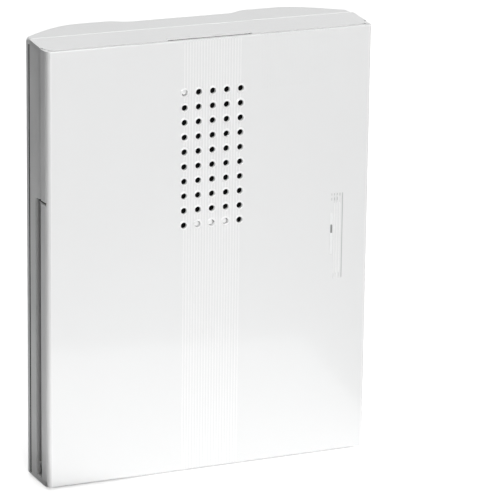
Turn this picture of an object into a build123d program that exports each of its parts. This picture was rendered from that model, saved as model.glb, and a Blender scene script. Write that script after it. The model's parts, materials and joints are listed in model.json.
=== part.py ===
from build123d import *
import os
from math import atan, degrees

# Wireless door chime box, hung on a wall. Millimetres.
# X runs across, Y into the wall, Z up. The origin is under the middle of the box, at its bottom.
# A depth is counted from the front face of the plate towards the wall.

# Front plate
plate_width = 137.0
plate_height = 178.0
plate_thickness = 2.2
plate_edge = 0.3
plate_gap = 0.8

# Sound holes and the fine vertical lines
hole_pitch = 6.0
hole_radius = 1.2
hole_sink_radius = 1.8
hole_columns = 5
hole_rows = 10
grille_rise = 41.0
lines_per_pitch = 5
line_side = 0.32

# Panel of fine lines at the top right, and the indicator beside the right edge
panel_left = 21.0
panel_lines = 25
panel_height = 22.0
indicator_x = 52.8
indicator_lines = 5
indicator_length = 35.6
indicator_rise = 2.7
window_length = 17.4
window_rise = 3.9

# Housing: outline, draft and shells
case_overhang = 1.2
total_depth = 38.0
parting_depth = 19.0
parting_reveal = 0.4
parting_edge = 0.5
lip_rise = 2.0
lip_thickness = 1.0
lip_clear = 0.3
wall = 2.2
corner_radius = 4.0
case_corner = 1.5
side_skim = 0.05
rim_width = 2.4
pocket_depth = 3.0
web = 2.0

# Back outline: two lobes beside a lower middle
side_lip = 3.4
plateau_half = 20.0
plateau_step = 3.6
lobe_x = 36.5
lobe_flat = 11.0
brow_run_share = 0.40
brow_drop_share = 0.19

# Carrier behind the plate, with its strip down the lower left side
cover_clear = 0.4
cover_thickness = 2.0
strip_bottom = 2.6
strip_top_rise = 28.0
strip_depth = 9.0
strip_groove = 3.6
strip_thickness = 3.0
strip_clear = 0.4
latch_slot_height = 5.2
latch_slot_width = 2.2
latch_notch = 1.5
sound_opening_width = 31.0
sound_opening_height = 61.0
sound_opening_corner = 3.0
sound_stop_x = -9.0
sound_stop_rise = 28.5
sound_stop_radius = 3.4
cloth_thickness = 0.3
cloth_margin = 1.2
sound_tab_left = -4.5
sound_tab_width = 16.5
sound_tab_height = 4.4
tongue_width = 8.0
tongue_thickness = 1.6
tongue_length = 6.0
tongue_clear = 0.4
tongue_top_x = 20.0
tongue_top_inset = 8.4
tongue_bottom_x = 8.0
tongue_bottom_rise = 12.0
pry_width = 36.0
pry_depth = 1.6
pad_width = 9.0
pad_length = 60.0
pad_inset = 16.0

# Cells and their contacts
cell_front_gap = 1.4
bay_top_rise = 21.8
nub_radius = 3.75
nub_height = 1.5
cell_edge = 0.8
cell_clear = 0.4
cells_in_column = 2
bay_rise = 4.0
bay_side = 0.6
rib = 1.6
rib_front_depth = 10.6
cradle_horn = 2.0
cradle_count = 4
contact_thickness = 0.4
contact_width = 18.0
contact_height = 16.0
spring_length = 5.0
spring_wire = 0.8
spring_top_radius = 3.0
spring_foot_radius = 6.5
spring_pitch = 1.5
strap_width = 5.0
seat_clear = 0.03
tag_clear = 0.1
tag_shift = 4.0
tag_width = 3.0
tag_rise = 3.8

# Loudspeaker
speaker_radius = 28.5
gasket_thickness = 1.0
gasket_width = 3.4
gasket_ring = 1.9
flange_thickness = 0.8
flange_width = 3.2
speaker_back_gap = 3.8
basket_foot_radius = 15.0
basket_window_width = 9.0
basket_window_inset_share = 0.24
yoke_radius = 14.0
magnet_bore_radius = 9.0
magnet_edge = 0.5
coil_overhang = 2.7
pole_radius = 6.0
coil_clear = 0.3
coil_wall = 0.35
gap_width = 1.3
top_plate_thickness = 2.0
magnet_radius = 16.0
magnet_thickness = 5.0
yoke_thickness = 1.6
cone_thickness = 0.45
cone_depth_share = 0.54
cone_clear = 0.3
surround_width = 2.6
surround_skin = 0.4
surround_foot = 1.6
dust_cap_radius = 7.5
dust_cap_height = 2.2
speaker_post_radius = 31.5
speaker_post_size = 2.8
clip_radius = 5.0
clip_thickness = 0.8
terminal_angle = 25.0
terminal_width = 3.6
terminal_length = 8.0
terminal_thickness = 1.0

# Screws
screw_radius = 1.45
screw_clear = 0.05
pilot_depth = 8.0
head_radius = 2.8
head_height = 1.7
head_slot = 0.8
head_slot_depth = 0.8
boss_radius = 3.4
case_screw_x = 59.0
case_screw_inset = 10.6
case_screw_seat = 5.0
case_screw_bore = 3.3
board_boss_radius = 2.6
small_screw_radius = 1.0
small_head_radius = 1.9
small_head_height = 1.2
small_slot = 0.5

# Receiver board and what is soldered to it
board_left = 36.5
board_right = 65.2
board_bottom_rise = 25.8
board_top_rise = 70.8
board_depth = 13.0
board_thickness = 1.6
board_tail_left = 52.4
board_tail_drop = 6.2
board_screw_inset = 3.0
lamp_radius = 1.5
lamp_flange_radius = 1.9
lamp_flange = 1.0
lamp_height = 4.2
dome_share = 0.9
guide_width = 1.2
guide_clear = 0.05
guide_foot = 1.0
guide_foot_margin = 1.2
guide_stem_length = 12.0
guide_stem_reach = 4.0
lamp_x = 55.6

# Controls under the cover
switch_size = 6.0
switch_height = 3.5
button_radius = 2.7
button_clear = 0.25
button_stem_radius = 1.6
button_stem_length = 1.4
button_travel = 0.5
button_rise = 0.3
stem_clear = 0.1
button_row_rise = 61.8
tune_x = 43.0
pair_x = 57.0
volume_x = 50.0
volume_rise = 47.8
volume_body_width = 12.0
volume_body_height = 5.0
volume_knob_width = 3.0
volume_knob_height = 4.0
volume_stem_height = 1.4
volume_travel = 2.0
volume_clear = 0.3
volume_depth = 4.0
volume_stem_length = 1.6

# Radio and sound parts on the board
module_width = 18.0
module_height = 14.0
module_x = 48.0
module_rise = 35.8
module_standoff = 2.5
module_thickness = 1.0
shield_width = 12.0
shield_height = 9.0
shield_depth = 2.2
shield_rise = 1.8
shield_edge = 0.3
pin_radius = 0.35
pin_count = 6
pin_pitch = 2.54
chip_width = 10.0
chip_height = 7.5
chip_depth = 2.2
chip_x = 45.0
chip_rise = 52.8
small_chip_width = 5.0
small_chip_height = 4.0
small_chip_depth = 1.6
small_chip_x = 54.0
small_chip_step = 6.0
capacitor_radius = 3.15
capacitor_length = 8.0
capacitor_x = 60.4
capacitor_edge = 0.5
capacitor_step = 8.0
crystal_width = 10.0
crystal_height = 4.0
crystal_depth = 3.4
crystal_x = 48.0
crystal_rise = 61.8

# Wires
aerial_radius = 0.5
lead_radius = 0.65
bend_share = 0.45
speaker_lead_rise = 1.9
speaker_lead_depth = 10.8

# Where the wires run, across and above the middle of the case
negative_lead_route = [(32.5, 31.3), (36.6, 34.8), (44.0, 36.0)]
positive_lead_route = [
    (-32.5, 31.8),
    (-40.6, 38.8),
    (-42.4, 56.8),
    (-36.0, 70.8),
    (-19.0, 77.8),
    (0.0, 79.2),
    (20.0, 78.4),
    (36.0, 76.0),
    (48.6, 72.8),
    (50.0, 67.8),
]
speaker_lead_routes = [
    [(26.9, 50.4), (33.0, 51.8), (40.4, 52.8)],
    [(24.7, 55.2), (32.0, 56.7), (40.4, 56.2)],
]
aerial_route = [
    (54.0, 68.6),
    (51.6, 76.8),
    (42.0, 83.4),
    (24.0, 85.1),
    (0.0, 85.4),
    (-26.0, 85.0),
    (-43.0, 83.2),
    (-51.0, 74.8),
    (-52.8, 56.8),
    (-52.4, 37.8),
]

# Wall fixing
keyhole_drop = 34.4
keyhole_entry_radius = 4.5
keyhole_slot_radius = 2.3
keyhole_slot_length = 9.0

# Worked out from the sizes above
overrun = plate_thickness
plate_half = plate_width / 2
case_width = plate_width + 2 * case_overhang
case_half = case_width / 2
case_height = plate_height + 2 * case_overhang
case_middle = case_height / 2
strip_top = case_middle + strip_top_rise
rim_depth = plate_thickness + plate_gap
web_front = rim_depth + pocket_depth
web_back = web_front + web
plateau_depth = total_depth - plateau_step
lobe_inner = lobe_x - lobe_flat / 2
lobe_outer = lobe_x + lobe_flat / 2
lip_depth = parting_depth + side_lip
fall_run = case_half - lobe_outer
fall_drop = total_depth - lip_depth
line_pitch = hole_pitch / lines_per_pitch
grille_z = case_middle + grille_rise
grille_lines = lines_per_pitch * (hole_columns - 1) + 1
pocket_width = plate_width - 2 * rim_width
pocket_height = plate_height - 2 * rim_width
cover_front = plate_thickness + plate_gap + cover_clear
cover_back = cover_front + cover_thickness
cover_width = pocket_width - 2 * cover_clear
cover_height = pocket_height - 2 * cover_clear
window_z = case_middle + window_rise
indicator_z = case_middle + indicator_rise
cell_room = total_depth - wall - cell_clear - web_back - cell_front_gap
cell_radius = cell_room / 2
cell_depth = total_depth - wall - cell_clear - cell_radius
bay_floor = wall + bay_rise
bay_top = case_middle + bay_top_rise
stack_length = bay_top - bay_floor - 2 * contact_thickness - spring_length
cell_length = stack_length / cells_in_column
bay_width = 2 * (cell_radius + bay_side)
flange_front = web_back + gasket_thickness
flange_back = flange_front + flange_thickness
motor_depth = top_plate_thickness + magnet_thickness + yoke_thickness
basket_depth = plateau_depth - wall - speaker_back_gap - flange_back - motor_depth
basket_window_inset = basket_window_inset_share * basket_depth
cone_depth = cone_depth_share * basket_depth
foot_depth = flange_back + basket_depth
magnet_front = foot_depth + top_plate_thickness
yoke_front = magnet_front + magnet_thickness
coil_inner = pole_radius + coil_clear
coil_outer = coil_inner + coil_wall
cone_rim_radius = speaker_radius - flange_width - surround_width - cone_clear
board_front = board_depth
board_back = board_depth + board_thickness
case_screw_depth = parting_depth + case_screw_seat
top_screw_z = case_height - case_screw_inset
tongue_top_z = case_height - tongue_top_inset
tag_top = bay_top + rib + tag_rise
board_bottom = case_middle + board_bottom_rise
board_top = case_middle + board_top_rise
board_tail_bottom = case_middle - board_tail_drop
button_z = case_middle + button_row_rise
volume_z = case_middle + volume_rise
module_z = case_middle + module_rise
chip_z = case_middle + chip_rise
crystal_z = case_middle + crystal_rise
keyhole_z = case_height - keyhole_drop
lead_depth = rib_front_depth - tag_clear - contact_thickness / 2
speaker_axis = Axis((0, 0, grille_z), (0, 1, 0))
stand = (Align.CENTER, Align.CENTER, Align.MIN)


def depth_plane(depth):
    """Upright plane at a depth, looking out into the room, with X across and Z up."""
    return Plane.XZ.offset(total_depth / 2 - depth)


def plan_plane(height):
    """Level plane at a height, with X across and depth away from the room."""
    return Plane((0, -total_depth / 2, height))


def side_plane(across):
    """Upright plane at a place across, with depth and Z as its directions."""
    return Plane((across, -total_depth / 2, 0), x_dir=(0, 1, 0), z_dir=(1, 0, 0))


def at_depth(depth):
    """Y of a depth."""
    return depth - total_depth / 2


def finish(piece, name):
    """Label a finished piece and write it out."""
    piece.part.label = name
    export_step(piece.part, "parts/" + name + ".step")


def case_side(inset):
    """Side outline of the housing: flat below, top drafted in front of the parting line."""
    back_top = case_height - inset
    front_top = back_top - case_overhang
    with BuildSketch() as side:
        with BuildLine():
            Polyline(
                (0, inset),
                (2 * total_depth, inset),
                (2 * total_depth, back_top),
                (parting_depth, back_top),
                (rim_depth, front_top),
                (0, front_top),
                close=True,
            )
        make_face()
    return side.sketch


def magnet_rims(ring):
    """Outer rims of a ring that lies along the depth."""
    return ring.edges().filter_by(GeomType.CIRCLE).sort_by(SortBy.RADIUS)[-2:]


def bent_wire(points, radius):
    """Round wire along a run of points, every corner as wide as its runs allow."""
    route = [Vector(*point) for point in points]
    bends = []
    for before, corner, after in zip(route, route[1:], route[2:]):
        turn = (corner - before).get_angle(after - corner)
        shorter = min((corner - before).length, (after - corner).length)
        half_turn = Vector(1, 0, 0).rotate(Axis.Z, turn / 2)
        bends.append(bend_share * shorter * half_turn.X / half_turn.Y)
    with BuildPart() as wire:
        with BuildLine() as path:
            FilletPolyline(*route, radius=bends)
        with BuildSketch(Plane(path.line @ 0, z_dir=path.line % 0)):
            Circle(radius)
        sweep(path=path.line)
    return wire.part


os.makedirs("parts", exist_ok=True)

# Plan outline of the housing, one half mirrored
with BuildSketch() as case_plan:
    with BuildLine():
        FilletPolyline(
            (0, rim_depth),
            (plate_half, rim_depth),
            (case_half, parting_depth),
            radius=corner_radius,
        )
        Line((case_half, parting_depth), (case_half, lip_depth))
        brow = TangentArc(
            (lobe_outer, total_depth),
            (lobe_outer + brow_run_share * fall_run, total_depth - brow_drop_share * fall_drop),
            tangent=(1, 0),
        )
        TangentArc(brow @ 1, (case_half, lip_depth), tangent=brow % 1)
        Line((lobe_inner, total_depth), (lobe_outer, total_depth))
        swell_x = (lobe_inner + plateau_half) / 2
        swell_depth = (total_depth + plateau_depth) / 2
        TangentArc((lobe_inner, total_depth), (swell_x, swell_depth), tangent=(-1, 0))
        TangentArc((plateau_half, plateau_depth), (swell_x, swell_depth), tangent=(1, 0))
        Line((0, plateau_depth), (plateau_half, plateau_depth))
        mirror(about=Plane.YZ)
    make_face()

with BuildSketch() as core_plan:
    add(case_plan.sketch)
    offset(amount=-wall)
    with Locations((0, web_back)):
        Rectangle(2 * case_width, 2 * web_back, align=(Align.CENTER, Align.MAX), mode=Mode.SUBTRACT)

with BuildPart() as case_block:
    with BuildSketch(plan_plane(0)):
        add(case_plan.sketch)
    extrude(amount=case_height)
    with BuildSketch(side_plane(-case_width)):
        add(case_side(0))
    extrude(amount=2 * case_width, mode=Mode.INTERSECT)

    # Rounded corners, and a skim that keeps the sides flat at their widest
    with BuildSketch(depth_plane(0)):
        with Locations((0, case_middle)):
            RectangleRounded(case_width - 2 * side_skim, case_height, case_corner)
    extrude(amount=-total_depth, mode=Mode.INTERSECT)

with BuildPart() as case_core:
    with BuildSketch(plan_plane(0)):
        add(core_plan.sketch)
    extrude(amount=case_height)
    with BuildSketch(side_plane(-case_width)):
        add(case_side(wall))
    extrude(amount=2 * case_width, mode=Mode.INTERSECT)

# Places shared by several pieces
case_screw_places = [
    (side * case_screw_x, height)
    for side in (-1, 1)
    for height in (case_screw_inset, top_screw_z)
]
speaker_post_places = [
    (across * speaker_post_radius, grille_z + up * speaker_post_radius)
    for across, up in ((-1, 0), (1, 0), (0, -1), (0, 1))
]
board_screw_places = [
    (board_left + board_screw_inset, board_bottom + board_screw_inset),
    (board_right - board_screw_inset, board_bottom + board_screw_inset),
    (board_left + board_screw_inset, board_top - board_screw_inset),
    (board_right - board_screw_inset, board_top - board_screw_inset),
]
tongue_places = [
    (-tongue_top_x, tongue_top_z),
    (tongue_top_x, tongue_top_z),
    (-tongue_bottom_x, tongue_bottom_rise),
    (tongue_bottom_x, tongue_bottom_rise),
]
button_places = {"tune": (tune_x, button_z), "pair": (pair_x, button_z)}

# Front plate
with BuildPart() as front_plate:
    with BuildSketch(depth_plane(0)):
        with Locations((0, case_middle)):
            Rectangle(plate_width, plate_height)
    extrude(amount=-plate_thickness)
    chamfer(front_plate.faces().sort_by(Axis.Y)[0].edges(), length=plate_edge)
    with BuildSketch(depth_plane(0)):
        with Locations((indicator_x, window_z)):
            Rectangle(guide_width + 2 * guide_clear, window_length + 2 * guide_clear)
    extrude(amount=-plate_thickness, mode=Mode.SUBTRACT)
    with Locations(depth_plane(0)):
        with Locations((0, grille_z)):
            with GridLocations(hole_pitch, hole_pitch, hole_columns, hole_rows):
                CounterSinkHole(hole_radius, hole_sink_radius, plate_thickness)
    with Locations((0, at_depth(0), case_middle)):
        with GridLocations(line_pitch, 0, grille_lines, 1):
            Box(line_side, line_side, plate_height, rotation=(0, 0, 45), mode=Mode.SUBTRACT)
    panel_middle = panel_left + (panel_lines - 1) * line_pitch / 2
    panel_z = case_middle + plate_height / 2 - panel_height
    with Locations((panel_middle, at_depth(0), panel_z)):
        with GridLocations(line_pitch, 0, panel_lines, 1):
            Box(
                line_side,
                line_side,
                panel_height + overrun,
                rotation=(0, 0, 45),
                align=(Align.CENTER, Align.CENTER, Align.MIN),
                mode=Mode.SUBTRACT,
            )
    indicator_middle = indicator_x + indicator_lines * line_pitch / 2
    with Locations((indicator_middle, at_depth(0), indicator_z)):
        with GridLocations(line_pitch, 0, indicator_lines - 1, 1):
            Box(line_side, line_side, indicator_length, rotation=(0, 0, 45), mode=Mode.SUBTRACT)
finish(front_plate, "front_plate")

# Carrier with its strip, tongues and openings
with BuildPart() as front_cover:
    with BuildSketch(depth_plane(cover_front)):
        with Locations((0, case_middle)):
            Rectangle(cover_width, cover_height)
    extrude(amount=-cover_thickness)
    with BuildSketch(plan_plane(strip_bottom + strip_clear)):
        with Locations((-cover_width / 2 + overrun / 2, cover_front)):
            Rectangle(case_width, cover_thickness, align=(Align.MAX, Align.MIN))
        with Locations((-(case_half - strip_thickness), cover_front)):
            Rectangle(case_width, strip_depth - cover_front, align=(Align.MAX, Align.MIN))
        add(case_plan.sketch, mode=Mode.INTERSECT)
    extrude(amount=strip_top - strip_bottom - 2 * strip_clear)
    with BuildSketch(side_plane(-case_half)):
        with Locations((strip_depth, strip_bottom)):
            Rectangle(2 * latch_notch, latch_slot_height, align=(Align.CENTER, Align.MIN))
    extrude(amount=strip_thickness + strip_clear, mode=Mode.SUBTRACT)
    with BuildSketch(depth_plane(cover_front)):
        with Locations((0, grille_z)):
            RectangleRounded(sound_opening_width, sound_opening_height, sound_opening_corner)
        with Locations((sound_tab_left, grille_z - sound_opening_height / 2)):
            Rectangle(
                sound_tab_width,
                sound_tab_height,
                align=(Align.MIN, Align.MIN),
                mode=Mode.SUBTRACT,
            )
        with Locations((sound_stop_x, grille_z + sound_stop_rise)):
            Circle(sound_stop_radius, mode=Mode.SUBTRACT)
    extrude(amount=-cover_thickness, mode=Mode.SUBTRACT)
    with BuildSketch(depth_plane(cover_front)):
        with Locations((lamp_x, window_z)):
            Rectangle(guide_width + 2 * cover_clear, guide_stem_length + 2 * cover_clear)
    extrude(amount=-cover_thickness, mode=Mode.SUBTRACT)
    with BuildSketch(depth_plane(cover_back)):
        with Locations(*tongue_places):
            Rectangle(tongue_width, tongue_thickness)
    extrude(amount=-tongue_length)
finish(front_cover, "front_cover")

# Foam tape between plate and carrier
with BuildPart() as plate_pads:
    pad_x = plate_half - pad_inset
    with BuildSketch(depth_plane(plate_thickness)):
        with Locations((0, case_middle)):
            with GridLocations(2 * pad_x, 2 * (plate_half - pad_inset), 2, 2):
                Rectangle(pad_width, pad_length)
    extrude(amount=-(cover_front - plate_thickness))
finish(plate_pads, "plate_pads")

# Clear strip that carries the lamp's light to the plate
with BuildPart() as light_guide:
    with BuildSketch(depth_plane(0)):
        with Locations((indicator_x, window_z)):
            Rectangle(guide_width, window_length)
    extrude(amount=-plate_thickness)
    foot_left = indicator_x - guide_width / 2 - guide_foot_margin
    foot_right = lamp_x + guide_width / 2 + guide_foot_margin
    with BuildSketch(depth_plane(plate_thickness)):
        with Locations(((foot_left + foot_right) / 2, window_z)):
            Rectangle(foot_right - foot_left, window_length + 2 * guide_foot_margin)
    extrude(amount=-guide_foot)
    with BuildSketch(depth_plane(plate_thickness + guide_foot)):
        with Locations((lamp_x, window_z)):
            Rectangle(guide_width, guide_stem_length)
    extrude(amount=-guide_stem_reach)
finish(light_guide, "light_guide")

# Front shell
with BuildPart() as front_housing:
    add(case_block.part)
    add(case_core.part, mode=Mode.SUBTRACT)
    split(bisect_by=depth_plane(parting_depth), keep=Keep.TOP)
    with BuildSketch(depth_plane(0)):
        with Locations((0, case_middle)):
            Rectangle(pocket_width, pocket_height)
    extrude(amount=-web_front, mode=Mode.SUBTRACT)

    # Recess for the strip: an inner wall first, then the cut
    recess_x = case_half - strip_thickness - strip_clear
    recess_back = strip_depth + strip_groove
    with BuildSketch(plan_plane(strip_bottom - web)):
        with Locations((-recess_x, web_front)):
            Rectangle(web, recess_back + web - web_front, align=(Align.MIN, Align.MIN))
        with Locations((-recess_x, recess_back)):
            Rectangle(case_width, web, align=(Align.MAX, Align.MIN))
        add(case_plan.sketch, mode=Mode.INTERSECT)
    extrude(amount=strip_top - strip_bottom + 2 * web)
    for shelf_z in (strip_bottom - web, strip_top):
        with BuildSketch(plan_plane(shelf_z)):
            with Locations((-recess_x, web_front)):
                Rectangle(case_width, recess_back - web_front, align=(Align.MAX, Align.MIN))
            add(case_plan.sketch, mode=Mode.INTERSECT)
        extrude(amount=web)
    with BuildSketch(plan_plane(strip_bottom)):
        with Locations((-recess_x, web_front)):
            Rectangle(case_width, recess_back - web_front, align=(Align.MAX, Align.MIN))
        with Locations((-pocket_width / 2 + overrun, 0)):
            Rectangle(case_width, web_front, align=(Align.MAX, Align.MIN))
    extrude(amount=strip_top - strip_bottom, mode=Mode.SUBTRACT)
    with BuildSketch(depth_plane(recess_back)):
        with Locations((-recess_x, strip_bottom)):
            Rectangle(latch_slot_width, latch_slot_height, align=(Align.MAX, Align.MIN))
    extrude(amount=-web, mode=Mode.SUBTRACT)

    # Bosses behind the web
    with BuildSketch(depth_plane(web_front)):
        with Locations(*case_screw_places):
            Circle(boss_radius)
    extrude(amount=-(parting_depth - web_front))
    with BuildSketch(depth_plane(web_front)):
        with Locations(*speaker_post_places):
            Circle(speaker_post_size)
    extrude(amount=-(flange_back - web_front))
    with BuildSketch(depth_plane(web_front)):
        with Locations(*board_screw_places):
            Circle(board_boss_radius)
    extrude(amount=-(board_front - web_front))

    # Openings in the web
    with BuildSketch(depth_plane(web_front)):
        with Locations(*[(side * lobe_x, (bay_floor + bay_top) / 2) for side in (-1, 1)]):
            Rectangle(bay_width, bay_top - bay_floor)
        with Locations((0, grille_z)):
            Circle(speaker_radius - gasket_width)
        with Locations(*tongue_places):
            Rectangle(tongue_width + 2 * tongue_clear, tongue_thickness + 2 * tongue_clear)
        with Locations((lamp_x, window_z)):
            Rectangle(switch_size, guide_stem_length + 2 * guide_foot_margin)
        with Locations(*button_places.values()):
            Circle(button_radius + button_clear)
        with Locations((volume_x, volume_z)):
            Rectangle(
                volume_knob_width + 2 * (volume_travel + volume_clear),
                volume_knob_height + 2 * volume_clear,
            )
    extrude(amount=-web, mode=Mode.SUBTRACT)

    # Screw pilots
    with BuildSketch(depth_plane(parting_depth)):
        with Locations(*case_screw_places):
            Circle(screw_radius + screw_clear)
    extrude(amount=pilot_depth, mode=Mode.SUBTRACT)
    with BuildSketch(depth_plane(flange_back)):
        with Locations(*speaker_post_places):
            Circle(small_screw_radius + screw_clear)
    extrude(amount=flange_back - web_front - web / 2, mode=Mode.SUBTRACT)
    with BuildSketch(depth_plane(board_front)):
        with Locations(*board_screw_places):
            Circle(small_screw_radius + screw_clear)
    extrude(amount=board_front - web_back, mode=Mode.SUBTRACT)

    # Recess for prying the cover off
    with BuildSketch(depth_plane(rim_depth)):
        with Locations((0, case_height)):
            Rectangle(pry_width, 2 * (case_overhang + rim_width))
    extrude(amount=-pry_depth, mode=Mode.SUBTRACT)
finish(front_housing, "front_housing")

# Hollow towers for the screws, cut to the outline of the housing
with BuildPart() as screw_towers:
    with BuildSketch(depth_plane(parting_depth + parting_reveal)):
        with Locations(*case_screw_places):
            Circle(case_screw_bore + wall)
    extrude(amount=-total_depth)
    with BuildSketch(plan_plane(0)):
        add(case_plan.sketch)
        offset(amount=-wall / 2)
    extrude(amount=case_height, mode=Mode.INTERSECT)

# Rear shell
with BuildPart() as rear_housing:
    add(case_block.part)
    add(case_core.part, mode=Mode.SUBTRACT)
    split(bisect_by=depth_plane(parting_depth + parting_reveal), keep=Keep.BOTTOM)
    chamfer(rear_housing.faces().sort_by(Axis.Y)[0].outer_wire().edges(), length=parting_edge)

    # Lip that reaches into the front shell
    lip_width = case_width - 2 * wall - 2 * lip_clear
    lip_height = case_height - 2 * wall - 2 * lip_clear
    with BuildSketch(depth_plane(parting_depth - lip_rise)):
        with Locations((0, case_middle)):
            Rectangle(lip_width, lip_height)
            Rectangle(lip_width - 2 * lip_thickness, lip_height - 2 * lip_thickness, mode=Mode.SUBTRACT)
    extrude(amount=-(lip_rise + parting_reveal + lip_thickness))
    with BuildSketch(depth_plane(parting_depth + parting_reveal)):
        with Locations((0, case_middle)):
            Rectangle(case_width - wall, case_height - wall)
            Rectangle(lip_width - 2 * lip_thickness, lip_height - 2 * lip_thickness, mode=Mode.SUBTRACT)
    extrude(amount=-lip_thickness)

    # Bay ends and cradles for the cells
    rib_reach = lobe_x + cell_radius + cradle_horn
    bay_half = cell_radius + cradle_horn
    with BuildSketch(plan_plane(bay_floor - rib)):
        with Locations((0, rib_front_depth)):
            Rectangle(2 * rib_reach, total_depth, align=(Align.CENTER, Align.MIN))
        add(core_plan.sketch, mode=Mode.INTERSECT)
    extrude(amount=rib)
    with BuildSketch(plan_plane(bay_top)):
        with Locations(*[(side * (lobe_x + cradle_horn / 2), rib_front_depth) for side in (-1, 1)]):
            Rectangle(bay_half + cell_radius, total_depth, align=(Align.CENTER, Align.MIN))
        add(core_plan.sketch, mode=Mode.INTERSECT)
    extrude(amount=rib)
    cradle_step = stack_length / cradle_count
    for place in range(cradle_count):
        cradle_z = bay_floor + spring_length + (place + 0.5) * cradle_step
        with BuildSketch(plan_plane(cradle_z - rib / 2)):
            with Locations(*[(side * lobe_x, cell_depth) for side in (-1, 1)]):
                Rectangle(2 * bay_half, total_depth, align=(Align.CENTER, Align.MIN))
            add(core_plan.sketch, mode=Mode.INTERSECT)
            with Locations(*[(side * lobe_x, cell_depth) for side in (-1, 1)]):
                Circle(cell_radius + cell_clear / 2, mode=Mode.SUBTRACT)
        extrude(amount=rib)

    # Screw bosses with a seat for the head
    add(screw_towers.part)
    with BuildSketch(depth_plane(case_screw_depth)):
        with Locations(*case_screw_places):
            Circle(case_screw_bore)
    extrude(amount=-total_depth, mode=Mode.SUBTRACT)
    with BuildSketch(depth_plane(parting_depth)):
        with Locations(*case_screw_places):
            Circle(screw_radius + 2 * screw_clear)
    extrude(amount=-total_depth, mode=Mode.SUBTRACT)

    # Keyholes in the lobes
    with BuildSketch(depth_plane(total_depth - wall - overrun)):
        with Locations(*[(side * lobe_x, keyhole_z) for side in (-1, 1)]):
            Circle(keyhole_entry_radius)
        slot_middle = keyhole_z + keyhole_slot_length / 2
        with Locations(*[(side * lobe_x, slot_middle) for side in (-1, 1)]):
            SlotCenterToCenter(keyhole_slot_length, 2 * keyhole_slot_radius, rotation=90)
    extrude(amount=-total_depth, mode=Mode.SUBTRACT)
finish(rear_housing, "rear_housing")

# Screws that join the shells
with BuildPart() as housing_screws:
    with BuildSketch(depth_plane(case_screw_depth)):
        with Locations(*case_screw_places):
            Circle(head_radius)
    extrude(amount=-head_height)
    with BuildSketch(depth_plane(case_screw_depth)):
        with Locations(*case_screw_places):
            Circle(screw_radius)
    extrude(amount=case_screw_seat + pilot_depth - screw_radius)
    with BuildSketch(depth_plane(case_screw_depth + head_height)):
        with Locations(*case_screw_places):
            Rectangle(2 * head_radius - head_slot, head_slot)
            Rectangle(head_slot, 2 * head_radius - head_slot)
    extrude(amount=head_slot_depth, mode=Mode.SUBTRACT)
finish(housing_screws, "housing_screws")

# Cells: the left column stands up, the right column hangs down
for side, column in ((-1, "left"), (1, "right")):
    stack_start = bay_floor + contact_thickness
    body_shift = nub_height
    nub_shift = 0
    if side < 0:
        stack_start = stack_start + spring_length
        body_shift = 0
        nub_shift = cell_length - nub_height
    for place in range(cells_in_column):
        base_z = stack_start + place * cell_length
        with BuildPart() as cell:
            with Locations((side * lobe_x, at_depth(cell_depth), base_z + body_shift)):
                Cylinder(cell_radius, cell_length - nub_height, align=stand)
            fillet(cell.edges(), radius=cell_edge)
            with Locations((side * lobe_x, at_depth(cell_depth), base_z + nub_shift)):
                Cylinder(nub_radius, nub_height, align=stand)
        finish(cell, "battery_cell_" + column + "_" + str(place + 1))

# Coil springs at the negative ends
with BuildPart() as battery_springs:
    coil_rise = spring_length - spring_wire - 2 * seat_clear
    cone_angle = degrees(atan((spring_foot_radius - spring_top_radius) / coil_rise))
    foot_low = bay_floor + contact_thickness + spring_wire / 2 + seat_clear
    foot_high = bay_top - contact_thickness - spring_wire / 2 - seat_clear
    for side, foot_z, way in ((-1, foot_low, 1), (1, foot_high, -1)):
        with BuildLine():
            coil = Helix(
                spring_pitch,
                coil_rise,
                spring_foot_radius,
                center=(side * lobe_x, at_depth(cell_depth), foot_z),
                direction=(0, 0, way),
                cone_angle=-cone_angle,
            )
        with BuildSketch(Plane(coil @ 0, z_dir=coil % 0)):
            Circle(spring_wire / 2)
        sweep(path=coil, is_frenet=True)
finish(battery_springs, "battery_springs")


def tagged_plate(side):
    """Upper contact plate, with a tag bent up in front of the bay's end."""
    tag_front = rib_front_depth - tag_clear - contact_thickness
    tag_x = side * (lobe_x - tag_shift)
    plate_z = bay_top - contact_thickness
    with BuildPart() as plate:
        with BuildSketch(plan_plane(plate_z)):
            with Locations((side * lobe_x, cell_depth)):
                Rectangle(contact_width, contact_height)
            with Locations((tag_x, tag_front)):
                Rectangle(tag_width, cell_depth - tag_front, align=(Align.CENTER, Align.MIN))
        extrude(amount=contact_thickness)
        with BuildSketch(plan_plane(plate_z)):
            with Locations((tag_x, tag_front)):
                Rectangle(tag_width, contact_thickness, align=(Align.CENTER, Align.MIN))
        extrude(amount=tag_top - plate_z)
    return plate.part


def plain_plate(side):
    """Lower contact plate."""
    with BuildPart() as plate:
        with BuildSketch(plan_plane(bay_floor)):
            with Locations((side * lobe_x, cell_depth)):
                Rectangle(contact_width, contact_height)
        extrude(amount=contact_thickness)
    return plate.part


# Plates under the springs: left below, right above
with BuildPart() as spring_plates:
    add(plain_plate(-1))
    add(tagged_plate(1))
finish(spring_plates, "spring_plates")

# Plates at the positive ends: left above, right below
with BuildPart() as contact_plates:
    add(tagged_plate(-1))
    add(plain_plate(1))
finish(contact_plates, "contact_plates")

# Strip along the bay floor that joins the two columns
with BuildPart() as link_strap:
    with BuildSketch(plan_plane(bay_floor)):
        with Locations((0, cell_depth)):
            Rectangle(2 * lobe_x - contact_width, strap_width)
    extrude(amount=contact_thickness)
finish(link_strap, "link_strap")

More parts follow.
